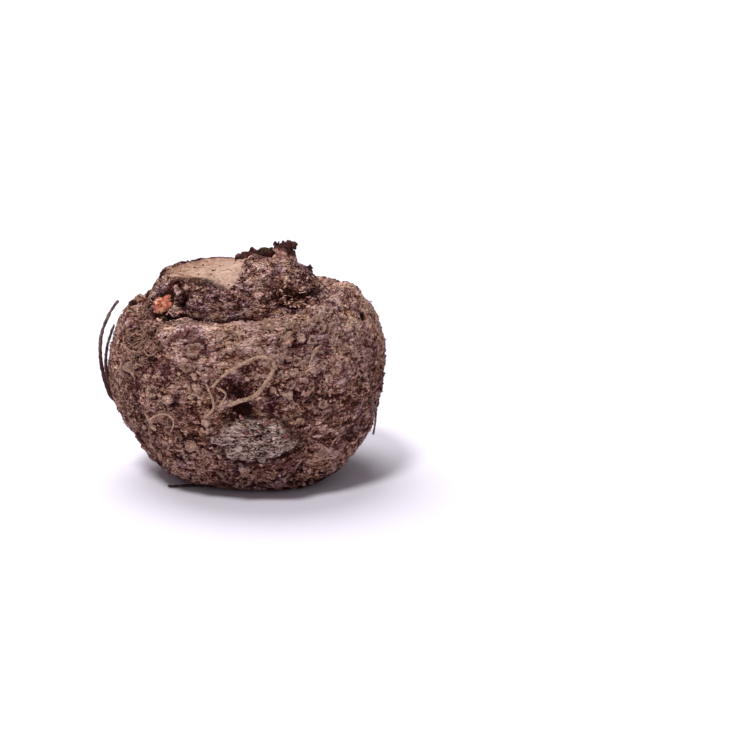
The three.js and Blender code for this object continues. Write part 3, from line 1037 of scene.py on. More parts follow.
class SkinShader(Shader):
    """The skin's material, laid on in layers that follow the fields written by shape_skin."""

    def __init__(self, settings):
        super().__init__("yam_skin", roughness=0.88)
        self.settings = settings
        self.flow = self.attribute("flow", "Vector")
        self.relief = self.attribute("relief")
        self.dish = self.attribute("dish")
        self.fold = self.attribute("fold")
        self.up = self.axis("Z")
        self.across = self.axis("X")
        self.levels = self.stretched(1.0, 1.0, 2.6)
        self.calm = 1 - self.dish * 0.45

        # Strokes and scales that lie round the corm, and grain that lies any way.
        self.streak = self.noise(16 * MM, 3.0, 0.6, 0.6, at=self.flow, seed=1.0)
        self.strokes = self.noise(5.5 * MM, 2.0, 0.55, 1.2, at=self.flow, seed=14.0)
        layered = self.warped(9 * MM, 9 * MM, 16.0, at=self.flow)
        self.plates = self.cell_value(11 * MM, layered)
        self.scales = self.cell_value(5 * MM, layered)
        self.joints = 1 - self.cells(5 * MM, layered, "DISTANCE_TO_EDGE").band(0.0, 0.16)
        self.seams = 1 - self.cells(11 * MM, layered, "DISTANCE_TO_EDGE").band(0.0, 0.05)
        self.grain = self.noise(2.2 * MM, 3.0, 0.65, 0.5, seed=3.0)
        self.ragged = (self.noise(1.6 * MM, 4.0, 0.65, seed=8.0) - 0.5) * 1.5

        # Warty patches, and smooth mauve ones, where all that is rough fades.
        self.warty = self.noise(26 * MM, 3.0, 0.6, seed=19.0).band(0.42, 0.56) * (1 - self.dish)
        self.patches = self.noise(20 * MM, 3.0, 0.6, seed=1.0).band(0.46, 0.58)
        smooth = self.patches * (1 - self.warty) * (1 - self.dish)
        self.rough = (1 - smooth * 0.6) * (1 - self.fold * 0.8)
        # Pebbles: domes paler in their middle, partly a painted highlight on each dome, partly a paler tone
        # per cell.
        warped = self.warped(5 * MM, 4 * MM, 1.0)
        domes = 1 - self.cells(3.6 * MM, warped).band(0.15, 0.62)
        self.pebbles = domes * self.cell_value(3.6 * MM, warped).band(0.35, 0.8)
        self.pinholes = 1 - self.cells(4.8 * MM, warped).band(0.10, 0.20)

        long_lines = self.lines(20 * MM, 4.0, 0.62, 0.4, self.flow, 6.0, (0.0, 0.016))
        short_lines = self.lines(10 * MM, 3.0, 0.6, 0.6, self.flow, 18.0, (0.0, 0.022))
        ledges = self.lines(13 * MM, 4.0, 0.62, 0.8, self.levels, 23.0, (0.004, 0.030))
        self.fissures = long_lines * (0.4 + self.dish * 0.3) + short_lines * (0.7 - self.dish * 0.3)
        self.fissures = self.fissures + ledges * self.dish * 0.8

    def tone(self, under):
        """How pale the bare skin is, from about 0 to about 1; under is 1 low on the corm's wall."""
        level = self.noise(9 * MM, 4.0, 0.6, 1.0, at=self.levels, seed=20.0)
        flecks = self.noise(2.2 * MM, 2.0, 0.55, 0.4, seed=22.0).band(0.57, 0.66)
        # Paler high on the wall right of the left shoulder: partly painted highlight, partly the skin's
        # paler tone.
        middle = self.across.band(CORM_FOOT.x - 70 * MM, CORM_FOOT.x - 30 * MM)
        upper = self.up.band(75 * MM, 105 * MM) * (1 - self.dish) * middle
        detail = (
            # Relief: raised places painted paler, sunken ones darker, as painted light and shade.
            (self.relief - 0.5) * 1.15 * self.calm * (1 - self.fold * 0.4)
            + (self.streak - 0.5) * 0.8 * (1 - self.fold * 0.5)
            + (self.strokes - 0.5) * 0.55 * self.calm * self.rough
            + (level - 0.5) * 1.1 * self.dish * self.rough
            + (self.grain - 0.5) * 0.45 * self.rough
            # The shades: partly painted light and shade, partly the skin's own tone.
            + self.attribute("shade")
            + flecks * 0.42 * self.rough
            + self.warty * 0.04
            + self.dish * 0.07
            + upper * 0.15
            + (self.plates - 0.5) * 0.16
            + (self.scales.band(0.1, 0.9) - 0.4) * 0.17 * self.calm * self.rough
            + self.pebbles * (0.20 + self.warty * 0.26) * self.calm * self.rough
            - self.fissures * (0.38 + self.dish * 0.12)
            - self.joints * 0.11 * self.rough
            - self.seams * 0.15 * self.rough
            - self.patches * 0.05
            - self.pinholes * 0.50 * self.rough
        )
        return 0.505 + detail * (1.18 + under * 0.3)

    def ground(self):
        """The bare skin's colour: mauve brown, and earthy in places."""
        settings = self.settings
        under = 1 - self.up.band(18 * MM, 55 * MM)
        tone = self.tone(under)
        pinkish = self.ramp(tone, *zip(SKIN_TONES, skin_colours(settings)))
        earthy = self.ramp(tone, *zip(SKIN_TONES, (settings.deep, *EARTHY_COLOURS)))
        hue = self.noise(10 * MM, 2.0, 0.6, seed=15.0).band(0.42, 0.62)
        colour = self.mix((hue * 0.7 + self.warty * 0.3).clamp(), pinkish, earthy)
        colour = self.tint(self.patches, colour, settings.purple)
        colour = self.tint(self.dish, colour, (0.92, 1.0, 1.05))
        colour = self.tint(under, colour, (0.98, 0.93, 0.95))
        dirt = self.noise(12 * MM, 4.0, 0.65, seed=2.0).band(0.56, 0.70) * self.grain.band(0.4, 0.6)
        return self.mix(dirt * 0.5, colour, settings.rust)

    def root_scars(self, colour):
        """Root scars: a corky disc in a broken dark outline of painted shade; some hollow, painted dark as
        shade.
        """
        settings = self.settings
        way = self.attribute("ring_way") + self.ragged
        tone = self.attribute("ring_tone")
        hollow = self.attribute("ring_hollow")
        corky = self.ramp(
            tone, (0.2, (0.46, 0.25, 0.16)), (0.5, (0.80, 0.48, 0.32)), (0.85, (1.0, 0.68, 0.53))
        )
        corky_grain = self.noise(1.7 * MM, 3.0, 0.65, 0.8, seed=21.0)
        cork = self.tint((1 - corky_grain.band(0.40, 0.55)) * 0.9, corky, settings.tan)
        inside = 1 - way.band(0.76, 1.0)
        colour = self.mix(inside * (1 - hollow * 0.5) * (0.6 + tone * 0.4), colour, cork)
        self.rim = way.near(0.82, 0.04, 0.22)
        colour = self.mix(self.rim * (0.25 + tone * 0.45) * corky_grain.band(0.34, 0.52), colour, corky)
        # The dark outline is painted shade in the moat round the raised disc.
        outline = way.near(1.12, 0.03, 0.20) * self.grain.band(0.64, 0.42)
        outline_shade = Vector(settings.dark).lerp(Vector(settings.deep), 0.5)
        colour = self.mix(outline * (0.6 + tone * 0.35), colour, outline_shade)
        # Painted shade in the pit of a hollow scar.
        self.pit = (1 - way.band(0.25, 0.6)) * hollow
        return self.mix(self.pit * 0.8, colour, settings.deep)

    def old_plate(self, colour):
        """The plate of old skin: mauve grey and crumpled, with painted highlights on its crumples and
        painted shade in its creases.
        """
        way = self.attribute("plate_way") + (self.noise(3 * MM, 3.0, 0.6, seed=9.0) - 0.5) * 0.2
        self.plate = 1 - way.band(-0.05, 0.05)
        self.creases = self.lines(9 * MM, 3.0, 0.6, 1.0, self.flow, 10.0, (0.005, 0.045))
        crumpled = (self.grain - 0.5) * 0.9 + (self.relief - 0.62) * 0.7 + (self.strokes - 0.5) * 1.0
        old = self.ramp(
            0.74 + crumpled - self.creases * 0.7,
            (0.10, self.settings.deep),
            (0.30, (0.085, 0.042, 0.036)),
            (0.46, (0.36, 0.215, 0.180)),
            (0.62, (0.64, 0.415, 0.350)),
            (0.88, (1.00, 0.730, 0.640)),
        )
        return self.mix(self.plate * 0.92, colour, old)

    def cracks(self, colour):
        """The groove and its crack with painted shade, a pale lip, torn edges under the bud, and shade
        painted in the hollows.
        """
        settings = self.settings
        gaping = self.attribute("gaping")
        crack_way = self.attribute("crack_way") + self.ragged * 0.8
        self.crack = 1 - crack_way.band(0.45, 1.05)
        torn = crack_way.near(1.45, 0.05, 0.25) * gaping
        way = self.attribute("groove_way") + self.ragged * 2.2
        there = self.attribute("lip")
        # Painted shade on the mound's foot above the groove.
        foot = way.window((-16.0, -8.0), (-1.0, 2.0)) * there
        colour = self.mix(foot * 0.12, colour, settings.dark)
        # Painted shade in the groove.
        gap = way.window((-7.0, -5.0), (0.5, 2.5)) * there * self.strokes.band(0.60, 0.40)
        colour = self.mix(gap * (0.55 - gaping * 0.4), colour, settings.deep)
        # The pale lip: partly its own paler tone, partly a painted highlight on its lit top.
        lip = way.window((1.5, 3.5), (8.0, 14.0)) * there * self.strokes.band(0.30, 0.52)
        colour = self.mix(lip * 0.7, colour, Vector(settings.tan).lerp(Vector(settings.pale), 0.2))
        colour = self.mix(torn * 0.6, colour, (0.56, 0.37, 0.28))
        # Painted shade in the crack.
        colour = self.mix(self.crack * 0.85, colour, settings.deep)
        # Painted shade in the hollows, nearly black in the deepest.
        dark = self.attribute("dark")
        colour = self.mix((dark * (0.75 + self.grain * 0.5)).clamp(), colour, settings.deep)
        return self.mix(dark.band(0.80, 1.0) * 0.85, colour, (0.005, 0.003, 0.003))

    def leaf_scar(self, colour):
        """The smooth leaf scar: stained at the left and the back, soiled along its edges."""
        mottle = self.noise(5 * MM, 6.0, 0.7, seed=4.0)
        broad = self.noise(20 * MM, 3.0, 0.6, seed=12.0)
        back = self.axis("Y")
        scar_way = self.attribute("scar_way")
        ragged_way = scar_way + (self.noise(2.5 * MM, 5.0, 0.65, seed=7.0) - 0.5) * 5.0
        front_edge = back + self.across * 0.5 + (mottle - 0.5) * (18 * MM)
        over = 1 - front_edge.band(CORM_FOOT.y - 48 * MM, CORM_FOOT.y - 44 * MM)
        self.flesh = (1 - ragged_way.band(-1.2, 0.3)) * (1 - over * 0.9)
        left = 1 - self.across.band(CORM_FOOT.x - 58 * MM, CORM_FOOT.x - 12 * MM)
        far = back.band(CORM_FOOT.y - 20 * MM, CORM_FOOT.y + 12 * MM)
        stain = mottle.band(0.46, 0.60) * (0.35 + left * 0.4) + left * 0.4
        stain = stain + broad.band(0.50, 0.66) * 0.2 + far * 0.35
        scar = self.mix(stain.clamp(), self.settings.flesh, (0.38, 0.210, 0.142))
        near_edge = scar_way.band(-9.0, -1.0) * mottle.band(0.42, 0.56)
        scar = self.mix(near_edge * 0.45, scar, self.settings.brown)
        spots = 1 - self.noise(1.9 * MM, 3.0, 0.6, seed=13.0).band(0.31, 0.43)
        scar = self.mix(spots * 0.7, scar, (0.16, 0.08, 0.05))
        return self.mix(self.flesh, colour, scar)

    def normal(self):
        """Bumps from all the layers, once they are laid on, with fine grain on top."""
        height = self.grain * 0.5 + self.streak * 0.35 + self.strokes * 0.55
        height = height + self.plates * 0.35 + self.scales * 0.35
        height = height + self.pebbles * (0.2 + self.warty * 0.5) * self.calm * self.rough
        height = height - self.joints * 0.3 - self.seams * 0.25 - self.fissures * 0.45
        height = height - self.pinholes * 0.3 - self.crack * 0.9 + self.rim * 0.35 - self.pit * 0.5
        height = height + self.plate * 0.3 - self.creases * self.plate * 0.4
        height = height * (1 - self.flesh * 0.75) * (1 - self.fold * 0.6)
        fine = self.noise(0.9 * MM, 3.0, 0.6, seed=5.0)
        return self.bump(fine, 0.45 * MM, 0.7, under=self.bump(height, 3.0 * MM, 1.0))


def skin_material(settings):
    """The skin's layers in the order in which they cover each other."""
    s = SkinShader(settings)
    colour = s.leaf_scar(s.cracks(s.old_plate(s.root_scars(s.ground()))))
    return s.finish(colour, s.normal(), 0.75 + s.relief * 0.2)


class YAM_OT_skin(bpy.types.Operator):
    """Models the corm's skin over its CAD solid"""

    bl_idname = "yam.skin"
    bl_label = "Skin"

    def execute(self, context):
        settings = context.scene.yam_skin
        obj = rounded_copy("corm", "corm_skin", levels=2)
        shape_skin(obj, settings)
        obj.data.materials.append(skin_material(settings))
        obj.data.shade_smooth()
        piece(obj, "corm_skin", "corm")
        return {"FINISHED"}


def finished_skin():
    """The skin as its operator left it."""
    return Skin(bpy.data.objects["corm_skin"])


# ---- The bud and the old leaf sheath ----


def bud_material(settings):
    """Fresh flesh with pale blotches and dark pits, paler at its foot, with painted shade where it sits in
    its pocket.
    """
    s = Shader("bud_flesh", roughness=0.7, shine=0.2)
    grain = s.noise(2.6 * MM, 3.0, 0.6, 0.6, seed=1.0)
    blotch = s.noise(5 * MM, 3.0, 0.6, seed=2.0)
    up = s.axis("Z") + (blotch - 0.5) * (12 * MM)
    foot = 1 - up.band(BUD_MIDDLE.z - 6 * MM, BUD_MIDDLE.z - 1 * MM)
    colour = s.mix((blotch.band(0.48, 0.64) + foot * 0.5).clamp(), settings.bud, (0.80, 0.44, 0.31))
    colour = s.mix((1 - grain.band(0.40, 0.52)) * 0.8, colour, (0.24, 0.055, 0.028))
    pits = 1 - s.cells(4.4 * MM, s.warped(4 * MM, 3 * MM)).band(0.14, 0.30)
    colour = s.mix(pits * 0.85, colour, (0.20, 0.042, 0.012))
    # Painted shade where the bud sits in its pocket, farther than about 8 mm from its middle.
    away = s.node(
        "ShaderNodeVectorMath", {"operation": "DISTANCE"}, {0: s.place, 1: tuple(BUD_MIDDLE)}, "Value"
    )
    colour = s.mix(away.band(8.0 * MM, 11 * MM) * 0.9, colour, (0.05, 0.018, 0.012))
    return s.finish(colour, s.bump(grain - pits * 0.5, 1.2 * MM, 1.0))


class YAM_OT_bud(bpy.types.Operator):
    """Models the fleshy bud in its pocket"""

    bl_idname = "yam.bud"
    bl_label = "Bud"

    def execute(self, context):
        obj = rounded_copy("bud", "bud_flesh", levels=4)
        places, _ = read_points(obj.data)
        middle = np.array(BUD_MIDDLE)
        write_points(obj.data, middle + (places - middle) * BUD_SPREAD)
        roughen(obj, 2.0 * MM, 5 * MM, 5, 21.0)
        obj.data.materials.append(bud_material(context.scene.yam_root))
        piece(obj, "bud", "bud")
        return {"FINISHED"}


def sheath_material(settings):
    """Pale fibres that run up the stub, and a black crown that reaches lower on its tall right."""
    s = Shader("old_sheath", roughness=0.85)
    fibre = s.noise(1.6 * MM, 5.0, 0.65, 0.3, at=s.stretched(1.0, 1.0, 0.22), seed=1.0)
    low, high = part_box("leaf_sheath_stub")
    tall = s.axis("X").band(between(low.x, high.x, 0.50), between(low.x, high.x, 0.66))
    ragged = (s.noise(3 * MM, 4.0, 0.65, seed=2.0) - 0.5) * 9 * MM
    old = (s.axis("Z") + ragged + tall * (5.5 * MM)).band(high.z - 6.5 * MM, high.z - 4 * MM)
    colour = s.ramp(fibre, (0.30, settings.brown), (0.48, settings.tan), (0.68, settings.pale))
    colour = s.mix(old * 0.92, colour, settings.deep)
    return s.finish(colour, s.bump(fibre, 1.2 * MM, 1.0))


def add_crumb(bm, place, radius, subdivisions, rng):
    """An uneven crumb centred on the place."""
    stretch = Matrix.Diagonal((rng.uniform(0.7, 1.25), rng.uniform(0.7, 1.25), rng.uniform(0.6, 1.1), 1))
    turn = Matrix.Rotation(rng.uniform(0, math.tau), 4, Vector((rng.gauss(0, 1), rng.gauss(0, 1), 1)))
    matrix = Matrix.Translation(place) @ turn @ stretch
    made = bmesh.ops.create_icosphere(bm, subdivisions=subdivisions, radius=radius, matrix=matrix)
    for vert in made["verts"]:
        swell = 1 + 0.55 * noise.noise(vert.co / radius * 0.9)
        vert.co = place + (vert.co - place) * swell


class YAM_OT_sheath(bpy.types.Operator):
    """Models the torn rest of the old leaf sheath"""

    bl_idname = "yam.sheath"
    bl_label = "Old leaf sheath"

    def execute(self, context):
        rng = random.Random(SEED + 1)
        low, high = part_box("leaf_sheath_stub")
        obj = rounded_copy("leaf_sheath_stub", "sheath_stub", levels=3)
        roughen(obj, 1.4 * MM, 7 * MM, 4, 22.0)
        places, _ = read_points(obj.data)
        torn = 0.5 + fractal(places * np.array([1.0, 0.4, 0.0]), 5 * MM, 3, 24.0)
        sunk = (4.0 + 4.0 * torn.clip(0, 1)) * MM
        places[:, 2] -= sunk * smoothstep(places[:, 2], high.z - 11 * MM, high.z)
        write_points(obj.data, places)
        bm = bmesh.new()
        bm.from_mesh(obj.data)
        for _ in range(SHEATH_TATTERS):
            self.add_tatter(bm, low, high, rng)
        for _ in range(SHEATH_CRUMBS):
            share = rng.random()
            top = high.z - (1.0 + 5.0 * abs(noise.noise(Vector((share * 4.0, 0.3, 0.7))))) * MM
            place = Vector((between(low.x, high.x, 0.05 + 0.9 * share), rng.uniform(low.y, high.y), 0))
            place.z = top - abs(rng.gauss(0, 2.5)) * MM
            add_crumb(bm, place, rng.uniform(0.6, 1.7) * MM, 2, rng)
        settle(bm, obj.data, sheath_material(context.scene.yam_skin))
        piece(obj, "old_sheath", "leaf_sheath_stub")
        return {"FINISHED"}

    def add_tatter(self, bm, low, high, rng):
        """A pointed, flattened tatter that leans outwards from the stub's torn top."""
        share = rng.random()
        foot = Vector((between(low.x, high.x, 0.12 + 0.8 * share), (low.y + high.y) / 2, high.z))
        foot += Vector((0, rng.uniform(-3, 3), rng.uniform(-6.5, -3.0))) * MM
        lean = Matrix.Rotation(rng.gauss((share - 0.5) * 0.6, 0.4), 4, "Y")
        lean = lean @ Matrix.Rotation(rng.gauss(0, 0.4), 4, "X")
        tall = rng.uniform(2.5, 5.5) * MM
        matrix = Matrix.Translation(foot) @ lean @ Matrix.Translation((0, 0, tall / 2))
        made = bmesh.ops.create_cone(
            bm,
            cap_ends=True,
            segments=6,
            radius1=rng.uniform(0.8, 1.5) * MM,
            radius2=0.25 * MM,
            depth=tall,
            matrix=matrix @ Matrix.Diagonal((1, 0.5, 1, 1)),
        )
        edges = list({edge for vert in made["verts"] for edge in vert.link_edges})
        bmesh.ops.subdivide_edges(bm, edges=edges, cuts=1)


def scales_material():
    """Each scale has a tone of its own, from nearly black to pale."""
    s = Shader("dried_scales", roughness=0.7, shine=0.15)
    blotch = s.noise(2.6 * MM, 3.0, 0.6, seed=3.0)
    tone = 0.5 + (s.attribute("shade") - 0.5) * 0.6 + (blotch - 0.5) * 1.2
    colour = s.ramp(
        tone,
        (0.16, (0.020, 0.006, 0.005)),
        (0.34, (0.130, 0.036, 0.024)),
        (0.50, (0.36, 0.150, 0.090)),
        (0.68, (0.78, 0.50, 0.40)),
    )
    return s.finish(colour, s.bump(blotch, 0.8 * MM))


class YAM_OT_scales(bpy.types.Operator):
    """Fills the hollow in the mound with dried bud scales"""

    bl_idname = "yam.scales"
    bl_label = "Dried bud scales"

    def execute(self, context):
        rng = random.Random(SEED + 2)
        skin = finished_skin()
        bm = bmesh.new()
        shades = bm.verts.layers.float.new("shade")
        _, across, back, up, half_width, half_height, _, _ = SCALES_HOLLOW
        for i in range(DRIED_SCALES):
            beside = rng.gauss(0, half_width * 0.48)
            aim = Vector((across + beside, back, up + rng.gauss(0, half_height * 0.62)))
            place, normal = skin.nearest(CORM_FOOT + aim * MM)
            if i % 2:
                lifted = place + normal * 0.8 * MM
                add_flake(bm, shades, lifted, normal, rng.uniform(1.2, 2.6) * MM, 0.6, rng)
            else:
                add_crumb(bm, place + normal * 0.3 * MM, rng.uniform(0.5, 1.3) * MM, 2, rng)
        piece(object_from(bm, "dried_scales", scales_material()), "old_sheath")
        return {"FINISHED"}


# ---- Soil ----


def soil_material(settings):
    """Dark crumbling soil with dry pale grains and red patches."""
    s = Shader("dried_soil", roughness=0.95, shine=0.08)
    grain = s.noise(1.5 * MM, 5.0, 0.7, seed=1.0)
    lumps = s.noise(5 * MM, 3.0, 0.6, seed=2.0)
    soil = Vector(settings.soil)
    colour = s.ramp(
        grain * 0.6 + lumps * 0.4,
        (0.36, soil * 0.25),
        (0.50, soil * 0.9),
        (0.62, soil * 2.8),
        (0.74, soil * 6.0),
    )
    red = s.noise(11 * MM, 2.0, 0.5, seed=3.0).band(0.52, 0.60)
    colour = s.mix(red * 0.75, colour, (0.060, 0.008, 0.010))
    return s.finish(colour, s.bump(grain, 1.0 * MM, 1.0))


class YAM_OT_soil(bpy.types.Operator):
    """Models the crust of soil behind the leaf scar, the crumbs, and the loose grains on the skin"""

    bl_idname = "yam.soil"
    bl_label = "Soil"

    def execute(self, context):
        settings = context.scene.yam_loose
        rng = random.Random(SEED + 3)
        material = soil_material(settings)
        crust = rounded_copy("soil_crust", "soil_crust_crumbs", levels=2)
        roughen(crust, 2.4 * MM, 6 * MM, 4, 23.0)
        self.thin_to_the_left(crust, *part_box("soil_crust"))
        self.cover_in_crumbs(crust, material, CRUST_CRUMBS, (0.5, 3.4), rng)
        piece(crust, "dried_soil", "soil_crust")
        for node in CRUMB_NODES:
            clod = rounded_copy(node, node + "_grains", levels=2)
            roughen(clod, 1.5 * MM, 2.6 * MM, 4, 23.0)
            self.cover_in_crumbs(clod, material, CLOD_CRUMBS, (0.4, 1.4), rng)
            piece(clod, "dried_soil", node)
        skin = finished_skin()
        bm = bmesh.new()
        for _ in range(settings.crumb_count):
            place, normal = skin.any_place(rng)
            if place.z > LOWEST_GRAIN:
                add_crumb(bm, place + normal * 0.2 * MM, rng.choice((0.35, 0.45, 0.6, 0.9)) * MM, 1, rng)
        piece(object_from(bm, "loose_grains", material), "dried_soil")
        return {"FINISHED"}

    def thin_to_the_left(self, crust, low, high):
        """Lowers the left end of the crust."""
        places, _ = read_points(crust.data)
        left = 1 - smoothstep(places[:, 0], low.x, low.x + 10 * MM)
        places[:, 2] -= 2.2 * MM * left * smoothstep(places[:, 2], low.z, high.z - 4 * MM)
        write_points(crust.data, places)

    def cover_in_crumbs(self, clod, material, count, sizes, rng):
        """Adds crumbs all over the clod, most of them near the smaller of the two sizes."""
        places, _ = read_points(clod.data)
        bm = bmesh.new()
        bm.from_mesh(clod.data)
        for _ in range(count):
            place = Vector(places[rng.randrange(len(places))])
            add_crumb(bm, place, between(*sizes, rng.random() ** 2) * MM, 2, rng)
        settle(bm, clod.data, material)


# ---- Roots, fibres and flakes ----


def root_material(name, colour, dark_share, black_below=None):
    """Dry root bark: dark_share is about how much of it is blackened; it is black below black_below."""
    s = Shader(name, roughness=0.8, shine=0.2)
    colour = Vector(colour)
    blotch = s.noise(8 * MM, 4.0, 0.6, seed=1.0)
    grain = s.noise(1.3 * MM, 5.0, 0.7, seed=2.0)
    bark = s.ramp(grain, (0.32, colour * 0.22), (0.50, colour), (0.66, colour * 1.8))
    bark = s.mix(1 - blotch.band(dark_share - 0.08, dark_share + 0.06), bark, colour * 0.14)
    if black_below:
        up = s.axis("Z") + (grain - 0.5) * (20 * MM)
        low = 1 - up.band(black_below - 8 * MM, black_below + 8 * MM)
        bark = s.mix(low * 0.85, bark, (0.060, 0.014, 0.012))
    return s.finish(bark, s.bump(grain, 0.8 * MM, 1.0))


class YAM_OT_roots(bpy.types.Operator):
    """Models the dried roots over their CAD solids"""

    bl_idname = "yam.roots"
    bl_label = "Roots"

    def execute(self, context):
        settings = context.scene.yam_root
        black = Vector(settings.grey) * 0.22
        finishes = (
            (FRONT_ROOTS, 0.22, root_material("root_bark_tan", settings.olive, 0.36)),
            (LEFT_ROOTS, 0.35, root_material("root_bark_grey", settings.grey, 0.42, 92 * MM)),
            (BACK_ROOTS, 0.15, root_material("root_bark_brown", settings.grey, 0.42)),
            (("root_on_ground",), 0.15, root_material("root_bark_black", black, 0.4)),
        )
        for nodes, thicker, material in finishes:
            for seed, node in enumerate(nodes):
                obj = rounded_copy(node, node + "_bark", levels=2)
                thicken(obj, thicker * MM)
                roughen(obj, 0.35 * MM, 2.6 * MM, 2, 30.0 + seed, floor=0)
                obj.data.materials.append(material)
                piece(obj, "root", node)
        return {"FINISHED"}


def fibre_line(skin, place, way, length, arch, rng, wander=1.0):
    """Places along a fibre that creeps over the skin, arched off it by up to arch."""
    steps = max(5, int(length / (2.0 * MM)))
    bend = rng.gauss(0, 0.22) * wander
    line = []
    for i in range(steps):
        place, normal = skin.nearest(place)
        lift = 0.12 * MM + arch * math.sin(math.pi * i / (steps - 1))
        line.append(place + normal * lift)
        way = (way - normal * way.dot(normal)).normalized()
        way.rotate(Matrix.Rotation(bend + rng.gauss(0, 0.28) * wander, 3, normal))
        place = place + way * 2.0 * MM
    return line


def round_curve(name):
    """A curve whose splines are round strands, as thick as their points say."""
    curve = bpy.data.curves.new(name, "CURVE")
    curve.dimensions = "3D"
    curve.bevel_depth = 1.0
    curve.bevel_resolution = 1
    curve.resolution_u = 3
    curve.use_fill_caps = True
    return curve


def torn_skin_material(settings):
    """Pale torn skin with dark specks."""
    s = Shader("torn_skin")
    grain = s.noise(1.8 * MM, 4.0, 0.65, seed=1.0)
    colour = s.ramp(grain, (0.34, settings.dark), (0.44, settings.tan), (0.60, settings.pale))
    return s.finish(colour, s.bump(grain, 0.8 * MM))


def strands_from(curve, material):
    """The finished curve as a mesh object."""
    obj = applied(add_object(curve.name, curve))
    obj.data.materials.clear()
    obj.data.materials.append(material)
    return obj


def add_fibre(curve, line, thick):
    """A strand along the line that tapers towards its end."""
    line = [at for i, at in enumerate(line) if i == 0 or (at - line[i - 1]).length > 0.6 * MM]
    if len(line) < 3:
        return
    spline = curve.splines.new("BEZIER")
    spline.bezier_points.add(len(line) - 1)
    for i, (point, at) in enumerate(zip(spline.bezier_points, line)):
        point.co = at
        point.handle_left_type = point.handle_right_type = "AUTO"
        point.radius = thick * (1 - 0.6 * i / len(line))


def curl_line(skin, centre, normal, radius, start, sweep, squash, rng):
    """Places along an arc about a centre on the skin, laid down on the skin."""
    side, up = tangents(normal)
    steps = max(4, int(radius * sweep / (1.3 * MM)))
    line = []
    for i in range(steps + 1):
        angle = start + sweep * i / steps
        reach = radius * (1 + rng.uniform(-0.06, 0.06))
        aim = centre + side * math.cos(angle) * reach + up * math.sin(angle) * reach * squash
        place, there = skin.nearest(aim)
        line.append(place + there * 0.12 * MM)
    return line


class YAM_OT_fibres(bpy.types.Operator):
    """Lays fine dry rootlets over the skin, in strands, curls and swirls, and torn strips at the gap"""

    bl_idname = "yam.fibres"
    bl_label = "Fibres"

    def execute(self, context):
        rng = random.Random(SEED + 4)
        skin = finished_skin()
        settings = context.scene.yam_loose
        curve = round_curve("fine_fibres")
        self.add_strands(curve, skin, settings.fibre_count, rng)
        self.add_curls(curve, skin, settings.curl_count, rng)
        for swirl in FIBRE_SWIRLS:
            self.add_swirl(curve, skin, rng, *swirl)
        piece(strands_from(curve, root_material("fibre_bark", settings.fibre, 0.38)), "root")
        self.add_torn_strips(skin, context.scene.yam_skin)
        return {"FINISHED"}

    def add_strands(self, curve, skin, count, rng):
        """Long strands that creep over the skin, more of them level than upright."""
        for _ in range(count):
            place, normal = skin.any_place(rng)
            side, up = tangents(normal)
            angle = rng.gauss(0, 0.6) if rng.random() < 0.6 else rng.uniform(0, math.tau)
            way = side * math.cos(angle) + up * math.sin(angle)
            arch = rng.choice((0.0, 0.1, 0.6)) * MM
            if place.z > LOWEST_STRAND:
                line = fibre_line(skin, place, way, rng.uniform(8, 26) * MM, arch, rng)
                add_fibre(curve, line, rng.uniform(0.22, 0.5) * MM)

    def add_curls(self, curve, skin, count, rng):
        """Short curls all over the skin, but not in the dish."""
        in_dish = read_attribute(skin.mesh, "dish") > 0.4
        for _ in range(count):
            place, normal = skin.any_place(rng, in_dish)
            if place.z > LOWEST_CURL:
                radius = rng.uniform(1.2, 3.6) * MM
                sweep = rng.uniform(1.6, 5.2)
                squash = rng.uniform(0.5, 1.0)
                line = curl_line(skin, place, normal, radius, rng.uniform(0, math.tau), sweep, squash, rng)
                add_fibre(curve, line, rng.uniform(0.24, 0.48) * MM)

    def add_swirl(self, curve, skin, rng, across, up, reach, squash, combed, edging, swirling):
        """Fibres combed over the seat of an old root, round its edge and round its middle."""
        place, normal = skin.from_front(across, up)
        side, down = tangents(normal)
        slant = -(side * 0.86 + down * 0.5)
        for _ in range(combed):
            out, angle = reach * math.sqrt(rng.random()) * 0.95 * MM, rng.uniform(0, math.tau)
            start = place + side * out * math.cos(angle) + down * out * squash * math.sin(angle)
            line = fibre_line(skin, start, slant, rng.uniform(5, 10) * MM, 0.0, rng, wander=0.2)
            add_fibre(curve, line, rng.uniform(0.13, 0.25) * MM)
        for _ in range(edging):
            radius, start = reach * rng.uniform(0.86, 1.10) * MM, rng.gauss(0.25, 0.3)
            line = curl_line(skin, place, normal, radius, start, rng.uniform(1.3, 2.6), squash, rng)
            add_fibre(curve, line, rng.uniform(0.26, 0.46) * MM)
        for _ in range(swirling):
            radius, start = reach * rng.uniform(0.25, 1.0) * MM, rng.gauss(-1.9, 1.3)
            line = curl_line(skin, place, normal, radius, start, rng.uniform(1.2, 4.0), squash, rng)
            add_fibre(curve, line, rng.uniform(0.3, 0.6) * MM)

    def add_torn_strips(self, skin, settings):
        """Torn strips of skin that bridge the dips along the gap under the bud."""
        curve = round_curve("torn_strips")
        for strip in TORN_STRIPS:
            line = []
            for place in strip:
                aim = CORM_FOOT + Vector(place) * MM
                under, normal = skin.nearest(aim)
                line.append(under + normal * (0.7 * MM + max(0, (aim - under).dot(normal))))
            add_fibre(curve, line, 0.85 * MM)
        obj = strands_from(curve, torn_skin_material(settings))
        roughen(obj, 0.8 * MM, 2.2 * MM, 2, 33.0)
        piece(obj, "corm_skin")


